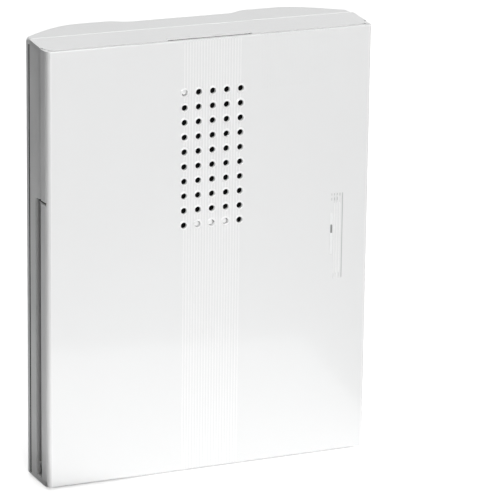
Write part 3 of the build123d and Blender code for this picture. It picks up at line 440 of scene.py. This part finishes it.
def sound_holes():
    """Raised rims and hole walls in a painted highlight; open holes are lined with painted shade,
    and four are closed by stops for the white carrier behind, also in the painted highlight.
    """
    rims, sleeves, walls, stops = (bmesh.new() for piece in range(4))
    for column in range(HOLE_COLUMNS):
        x = (column - (HOLE_COLUMNS - 1) / 2) * HOLE_PITCH
        for row in range(HOLE_ROWS):
            z = row_height(row)
            hole_ring(rims, x, z, RIM)
            if (column, row) in CLOSED:
                across, up = CLOSED[(column, row)]
                hole_ring(stops, x + across, z + up, STOP)
            else:
                hole_ring(sleeves, x, z, SLEEVE)
                hole_ring(walls, x, z, WALL)
    keep_piece("sound_hole_rims", rims, "painted_highlight_white", "cover")
    keep_piece("sound_hole_sleeves", sleeves, "joint_shade", "cover")
    keep_piece("sound_hole_walls", walls, "painted_highlight_white", "cover")
    keep_piece("sound_hole_stops", stops, "painted_highlight_white", "cover")


LINE_PITCH = 1.2 * MM
LINE_HALF = 0.22 * MM
GRILLE_LINES = 25
GRILLE_MARGIN = 0.5 * MM
GRILLE_FRONT = 0.03 * MM
GRILLE_BACK = 0.10 * MM
LINES_PER_HOLE = 5
FIRST_HOLE_LINE = 2
RIM_REACH = 2.05 * MM


def grille_runs(line):
    """Low and high ends of a line's runs, broken by the rims that it meets."""
    step = (line - FIRST_HOLE_LINE) % LINES_PER_HOLE
    beside = min(step, LINES_PER_HOLE - step) * LINE_PITCH
    heights = [plate_low[2] + GRILLE_MARGIN]
    if beside < RIM_REACH:
        reach = math.sqrt(RIM_REACH**2 - beside**2)
        for row in range(HOLE_ROWS):
            heights += [row_height(row) - reach, row_height(row) + reach]
    heights.append(plate_high[2] - GRILLE_MARGIN)
    return zip(heights[::2], heights[1::2])


def grille_line_floors():
    """Floors of the fine lines behind the sound holes, bright with a painted highlight."""
    shape = bmesh.new()
    for line in range(GRILLE_LINES):
        x = (line - (GRILLE_LINES - 1) / 2) * LINE_PITCH
        for low, high in grille_runs(line):
            bar(shape, x, LINE_HALF, GRILLE_FRONT, GRILLE_BACK, low, high)
    keep_piece("grille_line_floors", shape, "painted_highlight_white", "cover")


PANEL_LEFT = 21.0 * MM
PANEL_LINES = 25
PANEL_TOP_GAP = 0.4 * MM
PANEL_BOTTOM_GAP = 22.2 * MM
PANEL_FRONT = 0.02 * MM
PANEL_BACK = 0.05 * MM


def panel_line_floors():
    """Shallow floors of the lines at the plate's top right."""
    low = plate_high[2] - PANEL_BOTTOM_GAP
    high = plate_high[2] - PANEL_TOP_GAP
    shape = bmesh.new()
    for line in range(PANEL_LINES):
        x = PANEL_LEFT + line * LINE_PITCH
        bar(shape, x, LINE_HALF, PANEL_FRONT, PANEL_BACK, low, high)
    keep_piece("panel_line_floors", shape, "gloss_plate", "cover")


GUIDE_X = 52.8 * MM
MARK_HALF = 0.15 * MM
MARK_FRONT = -0.005 * MM
MARK_BACK = 0.15 * MM
BRIGHT_FRONT = 0.03 * MM
INDICATOR_LOW = 75.3 * MM
INDICATOR_HIGH = 110.9 * MM
BRIGHT_LOW = INDICATOR_LOW + 2.0 * MM
BRIGHT_HIGH = INDICATOR_HIGH - 4.0 * MM
# Ends of a mark's two dashes and length of the fourth line's one, down from the upper end
MARK_DASHES = ((0.9 * MM, 0.0), (3.0 * MM, 1.8 * MM))
LAST_DASH = 1.2 * MM
WINDOW_HALF = 0.5 * MM
WINDOW_FRONT = face_y - 0.01 * MM
WINDOW_BACK = face_y + 0.2 * MM
WINDOW_BEVEL = 0.08 * MM
WINDOW_LOW = 94.3 * MM
WINDOW_HIGH = 97.9 * MM


def indicator():
    """Three lines bright with a painted highlight, dark marks at their upper end, one dark line and
    the lamp's window.
    """
    lines = [GUIDE_X + line * LINE_PITCH for line in range(5)]
    shape = bmesh.new()
    for x in lines[1:4]:
        bar(shape, x, MARK_HALF, BRIGHT_FRONT, MARK_BACK, BRIGHT_LOW, BRIGHT_HIGH)
    keep_piece("indicator_lines", shape, "painted_highlight_white", "cover")

    dark = [
        (x, INDICATOR_HIGH - low, INDICATOR_HIGH - high)
        for x in lines[:3]
        for low, high in MARK_DASHES
    ]
    dark.append((lines[3], INDICATOR_HIGH - LAST_DASH, INDICATOR_HIGH))
    dark.append((lines[4], INDICATOR_LOW, INDICATOR_HIGH))
    shape = bmesh.new()
    for x, low, high in dark:
        bar(shape, x, MARK_HALF, MARK_FRONT, MARK_BACK, low, high)
    keep_piece("indicator_marks", shape, "mark_grey", "cover")

    block_piece(
        "indicator_window",
        (GUIDE_X - WINDOW_HALF, WINDOW_FRONT, WINDOW_LOW),
        (GUIDE_X + WINDOW_HALF, WINDOW_BACK, WINDOW_HIGH),
        "window_grey",
        "cover",
        WINDOW_BEVEL,
    )


sound_holes()
grille_line_floors()
panel_line_floors()
indicator()


# Joint between the shells and recess for prying the cover off


PARTING_Y = 0.0
JOINT_TOP_HALF = SHELL_HALF - 2.0 * MM
JOINT_TOP_FRONT = PARTING_Y + 0.02 * MM
JOINT_TOP_BACK = PARTING_Y + 0.4 * MM
JOINT_TOP_LOW = TOP_Z - 1.0 * MM
JOINT_TOP_HIGH = TOP_Z - 0.10 * MM
JOINT_SIDE_OUTER = SHELL_HALF + 0.015 * MM
JOINT_SIDE_INNER = SHELL_HALF - 0.6 * MM
JOINT_SIDE_FRONT = PARTING_Y - 0.15 * MM
JOINT_SIDE_BACK = PARTING_Y + 0.95 * MM
JOINT_SIDE_LOW = 1.7 * MM
JOINT_SIDE_HIGH = TOP_Z - 2.1 * MM
PRY_HALF = 17.9 * MM
PRY_Y = face_y + 4.6 * MM
PRY_LIP_FRONT = PRY_Y - 0.25 * MM
PRY_LIP_BACK = PRY_Y + 0.10 * MM
PRY_LIP_LOW = plate_high[2] - 0.35 * MM
PRY_LIP_HIGH = plate_high[2] + 0.38 * MM
PRY_SHADE_FRONT = PRY_Y - 0.04 * MM
PRY_SHADE_BACK = PRY_Y + 0.01 * MM
PRY_SHADE_LOW = plate_high[2] - 1.5 * MM
PRY_SHADE_HIGH = plate_high[2] - 0.36 * MM


def shell_joint():
    """Joint between the shells: a painted highlight along the top, painted shade down both sides.
    """
    block_piece(
        "joint_top",
        (-JOINT_TOP_HALF, JOINT_TOP_FRONT, JOINT_TOP_LOW),
        (JOINT_TOP_HALF, JOINT_TOP_BACK, JOINT_TOP_HIGH),
        "painted_highlight_white",
        "base",
    )
    shape = bmesh.new()
    for side in SIDES:
        block(
            shape,
            (side * JOINT_SIDE_OUTER, JOINT_SIDE_FRONT, JOINT_SIDE_LOW),
            (side * JOINT_SIDE_INNER, JOINT_SIDE_BACK, JOINT_SIDE_HIGH),
        )
    keep_piece("joint_sides", shape, "joint_shade", "base")


def pry_recess():
    """Lip in a painted highlight above a face in painted shade."""
    block_piece(
        "pry_lip",
        (-PRY_HALF, PRY_LIP_FRONT, PRY_LIP_LOW),
        (PRY_HALF, PRY_LIP_BACK, PRY_LIP_HIGH),
        "painted_highlight_white",
        "base",
    )
    block_piece(
        "pry_shade",
        (-PRY_HALF, PRY_SHADE_FRONT, PRY_SHADE_LOW),
        (PRY_HALF, PRY_SHADE_BACK, PRY_SHADE_HIGH),
        "joint_shade",
        "base",
    )


shell_joint()
pry_recess()


# Front shell's sharp top corners; depths are from the plate's face


CORNER_RADIUS = 1.5 * MM
CORNER_FRONT = 7.0 * MM
CORNER_BACK = 19.0 * MM
CORNER_STEPS = 6
CORNER_SINK = 0.01 * MM
TOP_DROP = 1.2 * MM
TOP_RUN = 16.0 * MM


def corner_outline(depth):
    """Outline of what fills a rounded corner up to the side and to the sloping top."""
    top = TOP_Z - TOP_DROP * (CORNER_BACK - depth) / TOP_RUN
    outline = [(SHELL_HALF, top)]
    for step in range(CORNER_STEPS + 1):
        angle = math.pi / 2 * step / CORNER_STEPS
        x = SHELL_HALF - CORNER_RADIUS + CORNER_RADIUS * math.cos(angle)
        z = min(TOP_Z - CORNER_RADIUS + CORNER_RADIUS * math.sin(angle), top)
        outline.append((x - CORNER_SINK, z - CORNER_SINK))
    return outline


def shell_corners():
    shape = bmesh.new()
    for side in SIDES:
        ends = [
            [(side * x, face_y + depth, z) for x, z in corner_outline(depth)]
            for depth in (CORNER_FRONT, CORNER_BACK)
        ]
        loft(shape, *ends)
    keep_piece("shell_corners", shape, "shell_plastic", "base")


shell_corners()


# Rounded outer edges of the plate, the shell and the strip, and the strip's upper end


PLATE_HALF = 69.25 * MM
PLATE_BACK = 2.0 * MM
PLATE_ROUND_INNER = 67.8 * MM
PLATE_ROUND_FRONT = -0.01 * MM
PLATE_ROUND_BACK = 1.9 * MM
EDGE_STEPS = 14
EDGE_INNER = 67.75 * MM
EDGE_FRONT = 2.24 * MM
EDGE_BACK = 7.0 * MM
EDGE_INNER_BACK = 4.0 * MM
EDGE_SIDE_IN = 0.5 * MM
EDGE_SINK = 0.05 * MM
EDGE_TRIM = 0.05 * MM
SHELL_EDGE_LOW = 1.3 * MM
STRIP_LOW = 3.0 * MM
STRIP_TOP = 118.6 * MM
STRIP_CLEAR = 1.4 * MM
LIP_RISE = 0.9 * MM
LIP_BACK = 1.0 * MM
LIP_IN = 0.8 * MM
GAP_SINK = 0.1 * MM
GAP_OUTER = SHELL_HALF + 0.01 * MM
GAP_BACK = 9.0 * MM
GAP_LOW = STRIP_TOP - 0.45 * MM
GAP_HIGH = STRIP_TOP - 0.05 * MM


def upright(shape, side, outline, low_z, high_z):
    """Upright bar on one side, from an outline of (across, depth) points."""
    rows = [
        [(side * x, face_y + depth, z) for x, depth in outline] for z in (low_z, high_z)
    ]
    loft(shape, *rows)


def quarter(start, end):
    """Points of a quarter of an ellipse that starts across and ends along the depth."""
    points = []
    for step in range(EDGE_STEPS + 1):
        angle = math.pi / 2 * step / EDGE_STEPS
        across = start[0] + (end[0] - start[0]) * math.sin(angle)
        points.append((across, end[1] - (end[1] - start[1]) * math.cos(angle)))
    return points


EDGE_CURVE = quarter((PLATE_HALF - EDGE_SINK, EDGE_FRONT), (SHELL_HALF - EDGE_SINK, EDGE_BACK))


def rounded_edge(shape, side, low_z, high_z):
    """Rounded front edge, from the plate's edge back to the side of the shell."""
    behind = [(SHELL_HALF - EDGE_SIDE_IN, EDGE_BACK), (EDGE_INNER, EDGE_INNER_BACK)]
    upright(shape, side, [(EDGE_INNER, EDGE_FRONT)] + EDGE_CURVE + behind, low_z, high_z)


# Rounded side edges of the plate, in a painted highlight
def plate_edges():
    front = (PLATE_ROUND_INNER, PLATE_ROUND_FRONT)
    outline = [(EDGE_INNER, 0.0)] + quarter(front, (PLATE_HALF, PLATE_ROUND_BACK))
    outline += [(PLATE_HALF, PLATE_BACK), (EDGE_INNER, PLATE_BACK)]
    shape = bmesh.new()
    for side in SIDES:
        upright(shape, side, outline, plate_low[2] + EDGE_TRIM, plate_high[2] - EDGE_TRIM)
    keep_piece("plate_edges", shape, "painted_highlight_white", "cover")


def shell_edges():
    """Front edges of the shell, which the strip takes over on the lower left."""
    shape = bmesh.new()
    rounded_edge(shape, -1, STRIP_TOP, plate_high[2] - EDGE_TRIM)
    rounded_edge(shape, 1, SHELL_EDGE_LOW, plate_high[2] - EDGE_TRIM)
    keep_piece("shell_edges", shape, "shell_plastic", "base")


def strip_edge():
    shape = bmesh.new()
    rounded_edge(shape, -1, STRIP_LOW, STRIP_TOP - STRIP_CLEAR)
    keep_piece("strip_edge", shape, "cover_plastic", "cover")


def strip_lip():
    """Lip on top of the strip in a painted highlight: one sloping band of faces that rises inwards.
    """
    low_z = STRIP_TOP - STRIP_CLEAR
    high_line = [(x - LIP_IN, depth + LIP_BACK) for x, depth in EDGE_CURVE]
    shape = bmesh.new()
    low_row, high_row = [
        [shape.verts.new((-x, face_y + depth, z)) for x, depth in line]
        for line, z in ((EDGE_CURVE, low_z), (high_line, low_z + LIP_RISE))
    ]
    for spot in range(EDGE_STEPS):
        after = spot + 1
        shape.faces.new((low_row[spot], low_row[after], high_row[after], high_row[spot]))
    keep_piece("strip_lip", shape, "painted_highlight_white", "cover")


def strip_gap():
    """Painted shade in the gap that parts the strip from the shell above it."""
    front = EDGE_FRONT + GAP_SINK
    curve = quarter((PLATE_HALF - GAP_SINK, front), (GAP_OUTER, GAP_BACK))
    outline = [(EDGE_INNER, front)] + curve + [(EDGE_INNER, GAP_BACK)]
    shape = bmesh.new()
    upright(shape, -1, outline, GAP_LOW, GAP_HIGH)
    keep_piece("strip_gap", shape, "joint_shade", "base")


plate_edges()
shell_edges()
strip_edge()
strip_lip()
strip_gap()


# Rear wall of the groove behind the strip, darkened with painted shade


GROOVE_Y = face_y + 12.6 * MM
GROOVE_FRONT = GROOVE_Y - 0.04 * MM
GROOVE_BACK = GROOVE_Y + 0.01 * MM
GROOVE_LEFT = -SHELL_HALF + 0.02 * MM
# Width, low end and high end of the wall's two parts
GROOVE_PARTS = (
    (3.3 * MM, 8.4 * MM, 118.0 * MM),
    (1.1 * MM, 2.8 * MM, 8.4 * MM),
)


def groove_wall():
    shape = bmesh.new()
    for width, low, high in GROOVE_PARTS:
        right = -SHELL_HALF + width
        block(shape, (GROOVE_LEFT, GROOVE_FRONT, low), (right, GROOVE_BACK, high))
    keep_piece("groove_wall", shape, "groove_painted_shade", "base")


groove_wall()


# Cells: copper-coloured shoulder bands and crimped rims at both ends


# Where the button end is: 1 is up, -1 is down
CELLS = {
    "battery_cell_left_1": 1,
    "battery_cell_left_2": 1,
    "battery_cell_right_1": -1,
    "battery_cell_right_2": -1,
}
CELL_SIDES = 64
BUTTON_SETBACK = 2.2
END_SETBACK = 0.6
# Millimetres from the button end, or from the rim's own place, and out from the jacket
CELL_BAND = [(6.0, 0.03), (16.0, 0.03), (16.0, -0.05), (6.0, -0.05)]
CELL_RIM = [(0.3, -0.85), (-0.1, -0.65), (-0.1, -1.2), (0.3, -1.4)]


def cell_details(name, button_end):
    """Band and rims of one cell."""
    low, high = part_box(name)
    centre = [(a + b) / 2 for a, b in zip(low, high)]
    radius = (high[0] - low[0]) / 2
    half_length = (high[2] - low[2]) / 2
    shape = bmesh.new()
    profile = [(button_end * (half_length - a), radius + r) for a, r in in_metres(CELL_BAND)]
    turned(shape, centre, "Z", profile, CELL_SIDES)
    keep_piece(name + "_band", shape, "band_copper", "base")
    shape = bmesh.new()
    for end in SIDES:
        setback = BUTTON_SETBACK if end == button_end else END_SETBACK
        reach = half_length - setback * MM
        profile = [(end * (reach + a), radius + r) for a, r in in_metres(CELL_RIM)]
        turned(shape, centre, "Z", profile, CELL_SIDES)
    keep_piece(name + "_rims", shape, "spring_steel", "base")


for name, button_end in CELLS.items():
    cell_details(name, button_end)


# Speaker: pressed ridges round the cone, riding with it; all in millimetres


CONE_RIM = 22.4
CONE_NECK = 6.65
CONE_DEPTH = 5.4
CONE_SIDES = 72
RIDGE_RADII = (19.6, 16.8, 14.0, 11.2)
RIDGE = [(-0.16, 0.0), (-0.02, 0.32), (0.2, 0.3), (0.2, -0.3), (0.06, -0.32)]


def cone_ridges():
    low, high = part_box("speaker_cone")
    centre = ((low[0] + high[0]) / 2, low[1], (low[2] + high[2]) / 2)
    shape = bmesh.new()
    for radius in RIDGE_RADII:
        depth = CONE_DEPTH * (CONE_RIM - radius) / (CONE_RIM - CONE_NECK)
        profile = [(depth + a, radius + r) for a, r in RIDGE]
        turned(shape, centre, "Y", in_metres(profile), CONE_SIDES)
    keep_piece("cone_ridges", shape, "cone_paper", "speaker_cone")


cone_ridges()


# Circuit board: solder, chip resistors and tracks on its faces; places in millimetres


board_low, board_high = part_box("circuit_board")
front_y = board_low[1]
back_y = board_high[1]

# Parts on one face are soldered on the other, at their leads
CAPACITOR_X = 60.4
CAPACITOR_HEIGHTS = (135.0, 143.0, 151.0)
CAPACITOR_LEAD = 1.25
MODULE_PINS = 6
MODULE_LEFT = 41.65
MODULE_Z = 119.9
PIN_PITCH = 2.54
CRYSTAL = (48.0, 156.6)
CRYSTAL_LEAD = 2.44
LAMP = (55.6, 94.1)
LAMP_LEAD = 1.27
PAIR_SWITCH = (57.0, 152.0)
SWITCH_LEADS = (2.2, 3.2)
JOINT_RADIUS = 0.85 * MM
FRONT_JOINT_RISE = 0.55 * MM
BACK_JOINT_RISE = 0.6 * MM


def solder_joints():
    front = [
        (CAPACITOR_X + side * CAPACITOR_LEAD, z) for z in CAPACITOR_HEIGHTS for side in SIDES
    ]
    front += [(MODULE_LEFT + pin * PIN_PITCH, MODULE_Z) for pin in range(MODULE_PINS)]
    front += [(CRYSTAL[0] + side * CRYSTAL_LEAD, CRYSTAL[1]) for side in SIDES]
    back = [(LAMP[0] + side * LAMP_LEAD, LAMP[1]) for side in SIDES]
    back += [
        (PAIR_SWITCH[0] + side * SWITCH_LEADS[0], PAIR_SWITCH[1] + end * SWITCH_LEADS[1])
        for side in SIDES
        for end in SIDES
    ]
    shape = bmesh.new()
    for x, z in in_metres(front):
        dome(shape, (x, front_y, z), JOINT_RADIUS, -FRONT_JOINT_RISE)
    for x, z in in_metres(back):
        dome(shape, (x, back_y, z), JOINT_RADIUS, BACK_JOINT_RISE)
    keep_piece("solder_joints", shape, "tin_can", "base")


RESISTORS = [(55.0, 102.0), (60.0, 102.0), (55.0, 108.0), (60.0, 108.0), (62.0, 88.0), (62.0, 97.0)]
CHIP_HALF = 0.7 * MM
CHIP_HALF_HEIGHT = 0.62 * MM
CHIP_RISE = 0.5 * MM
CHIP_BEVEL = 0.04 * MM
TIN_HALF = 1.05 * MM
TIN_HALF_HEIGHT = 0.64 * MM
TIN_RISE = 0.52 * MM
TIN_BEVEL = 0.05 * MM


def chip_resistors():
    """Black chips with tinned ends, a little thicker than the chip."""
    chips, ends = bmesh.new(), bmesh.new()
    for x, z in in_metres(RESISTORS):
        block(
            chips,
            (x - CHIP_HALF, back_y, z - CHIP_HALF_HEIGHT),
            (x + CHIP_HALF, back_y + CHIP_RISE, z + CHIP_HALF_HEIGHT),
            CHIP_BEVEL,
        )
        for side in SIDES:
            block(
                ends,
                (x + side * CHIP_HALF, back_y, z - TIN_HALF_HEIGHT),
                (x + side * TIN_HALF, back_y + TIN_RISE, z + TIN_HALF_HEIGHT),
                TIN_BEVEL,
            )
    keep_piece("chip_resistors", chips, "chip_black", "base")
    keep_piece("resistor_ends", ends, "tin_can", "base")


TRACK_WIDTH = 0.45 * MM
TRACK_LOW = back_y - 0.01 * MM
TRACK_HIGH = back_y + 0.035 * MM
TRACKS = [
    [(54.33, 94.1), (54.33, 100.0), (53.9, 101.0), (53.9, 102.0)],
    [(56.87, 94.1), (56.87, 99.0), (58.9, 101.0), (58.9, 102.0)],
    [(56.1, 102.0), (56.1, 106.0), (53.9, 108.0)],
    [(61.1, 102.0), (63.4, 104.0), (63.4, 128.0), (62.4, 130.0)],
    [(56.1, 108.0), (57.6, 110.0), (57.6, 126.0), (55.0, 131.0), (55.0, 134.0)],
    [(61.1, 108.0), (60.4, 112.0), (60.4, 130.0)],
    [(62.0, 88.0), (62.0, 97.0)],
]


def board_tracks():
    shape = bmesh.new()
    for route in TRACKS:
        track(shape, in_metres(route), TRACK_WIDTH, TRACK_LOW, TRACK_HIGH)
    keep_piece("board_tracks", shape, "track_green", "base")


solder_joints()
chip_resistors()
board_tracks()


# Floor and world: white to the eye, and dimmer as lights


FLOOR_BOUNCE = 0.18
FLOOR_SEEN = 0.96
FLOOR_LIFT = 0.55
FLOOR_HALF = 3.0
FLOOR_Z = -0.0002
# The world's light grows from left to right over directions up to this share of sideways
WORLD_TURN = 0.6
WORLD_LEFT = 0.01
WORLD_RIGHT = 0.30
WORLD_MIRROR = 0.55


def grey(level):
    return (level, level, level, 1)


def larger(tree, first, second):
    made = node(tree, "ShaderNodeMath", operation="MAXIMUM")
    tree.links.new(first, made.inputs[0])
    tree.links.new(second, made.inputs[1])
    return made.outputs[0]


def eye_rays(tree, path, in_mirrors):
    """1 for what the camera sees, straight or through glass, and in mirrors if asked."""
    direct = larger(tree, path.outputs["Is Camera Ray"], path.outputs["Is Transmission Ray"])
    if in_mirrors:
        return larger(tree, direct, path.outputs["Is Glossy Ray"])
    return direct


def choose(tree, share, first, second):
    """First shader, or the second where the share is 1."""
    made = tree.nodes.new("ShaderNodeMixShader")
    tree.links.new(share, made.inputs[0])
    tree.links.new(first, made.inputs[1])
    tree.links.new(second, made.inputs[2])
    return made.outputs[0]


def floor_look():
    """Pale floor that keeps the shadow and shows white to the eye and in reflections."""
    material = bpy.data.materials.new("studio_floor")
    material.use_nodes = True
    tree = material.node_tree
    tree.nodes.clear()
    out = tree.nodes.new("ShaderNodeOutputMaterial")
    bounce = node(tree, "ShaderNodeBsdfDiffuse", Color=grey(FLOOR_BOUNCE))
    seen = node(tree, "ShaderNodeBsdfDiffuse", Color=grey(FLOOR_SEEN))
    lift = node(tree, "ShaderNodeEmission", Strength=FLOOR_LIFT)
    both = tree.nodes.new("ShaderNodeAddShader")
    tree.links.new(seen.outputs[0], both.inputs[0])
    tree.links.new(lift.outputs[0], both.inputs[1])
    path = tree.nodes.new("ShaderNodeLightPath")
    whole = choose(tree, eye_rays(tree, path, True), bounce.outputs[0], both.outputs[0])
    tree.links.new(whole, out.inputs[0])
    return material


def studio_world():
    """White to the eye; as a light it is grey, and darker on the left."""
    world = bpy.data.worlds.new("studio")
    scene.world = world
    world.use_nodes = True
    tree = world.node_tree
    tree.nodes.clear()
    out = tree.nodes.new("ShaderNodeOutputWorld")
    seen = node(tree, "ShaderNodeBackground", Color=grey(1), Strength=1.0)
    lit = node(tree, "ShaderNodeBackground", Color=grey(1))
    sky = tree.nodes.new("ShaderNodeTexCoord")
    sky_parts = tree.nodes.new("ShaderNodeSeparateXYZ")
    tree.links.new(sky.outputs["Generated"], sky_parts.inputs[0])
    glow = spread(
        tree, sky_parts.outputs["X"], WORLD_LEFT, WORLD_RIGHT, -WORLD_TURN, WORLD_TURN
    )
    tree.links.new(glow, lit.inputs["Strength"])
    mirrored = node(tree, "ShaderNodeBackground", Color=grey(1), Strength=WORLD_MIRROR)
    path = tree.nodes.new("ShaderNodeLightPath")
    glossy = path.outputs["Is Glossy Ray"]
    unseen = choose(tree, glossy, lit.outputs[0], mirrored.outputs[0])
    whole = choose(tree, eye_rays(tree, path, False), unseen, seen.outputs[0])
    tree.links.new(whole, out.inputs[0])


def corners(half):
    return [(-half, -half, 0), (half, -half, 0), (half, half, 0), (-half, half, 0)]


floor_mesh = bpy.data.meshes.new("studio_floor")
floor_mesh.from_pydata(corners(FLOOR_HALF), [], [(0, 1, 2, 3)])
floor = bpy.data.objects.new("studio_floor", floor_mesh)
floor.location.z = FLOOR_Z
scene.collection.objects.link(floor)
floor_mesh.materials.append(floor_look())
studio_world()


# Lights: places and sizes in metres, powers in watts


def softbox(name, place, aim, width, height, power):
    data = bpy.data.lights.new(name, "AREA")
    data.shape = "RECTANGLE"
    data.size = width
    data.size_y = height
    data.energy = power
    lamp = bpy.data.objects.new(name, data)
    scene.collection.objects.link(lamp)
    lamp.location = place
    lamp.rotation_euler = (Vector(aim) - Vector(place)).to_track_quat("-Z", "Y").to_euler()
    return lamp


CARD_Z = 0.0004
LOW_CARD_TURN = -10.5


def floor_card(name, x, y, width, height, power):
    """Small softbox that lies on the floor and faces up, out of the camera's sight."""
    card = softbox(name, (x, y, CARD_Z), (x, y, 1.0), width, height, power)
    card.visible_camera = False
    return card


middle = (0.0, 0.0, TOP_Z / 2)
softbox("key", (-0.26, -1.43, 0.80), middle, 0.4, 0.7, 10.6)
softbox("side", (0.62, -1.30, 0.70), middle, 0.7, 0.9, 5.8)
softbox("top", (0.1, 0.1, 1.5), middle, 1.2, 1.2, 9.2)
back = softbox("back", (0.25, 1.6, 0.4), middle, 1.0, 0.7, 3.4)
back.visible_glossy = False
low_card = floor_card("low_card", -0.062, -0.11, 0.316, 0.17, 0.116)
low_card.rotation_euler.rotate_axis("Z", math.radians(LOW_CARD_TURN))
floor_card("left_card", -0.17, 0.0, 0.14, 0.16, 0.034)


# Camera at the photograph's angle, solved from the plate's corners and the depth edges


# Place in metres, and yaw, pitch and roll in degrees
CAMERA_PLACE = (-0.53065, -1.24670, 0.48892)
CAMERA_TURNS = (24.04, 16.49, -0.78)
SENSOR_WIDTH = 36.0
FOCAL_LENGTH = 252.0
CLIP_NEAR = 0.05
CLIP_FAR = 50.0

camera_data = bpy.data.cameras.new("camera")
camera_data.sensor_width = SENSOR_WIDTH
camera_data.lens = FOCAL_LENGTH
camera_data.clip_start = CLIP_NEAR
camera_data.clip_end = CLIP_FAR
camera = bpy.data.objects.new("camera", camera_data)
scene.collection.objects.link(camera)
yaw, pitch, roll = [math.radians(turn) for turn in CAMERA_TURNS]
ahead = Vector((math.sin(yaw) * math.cos(pitch), math.cos(yaw) * math.cos(pitch), -math.sin(pitch)))
right = Vector((math.cos(yaw), -math.sin(yaw), 0))
down = ahead.cross(right)
right_turned = math.cos(roll) * right + math.sin(roll) * down
down_turned = -math.sin(roll) * right + math.cos(roll) * down
spin = Matrix((right_turned, -down_turned, -ahead)).transposed().to_4x4()
camera.matrix_world = Matrix.Translation(CAMERA_PLACE) @ spin
scene.camera = camera
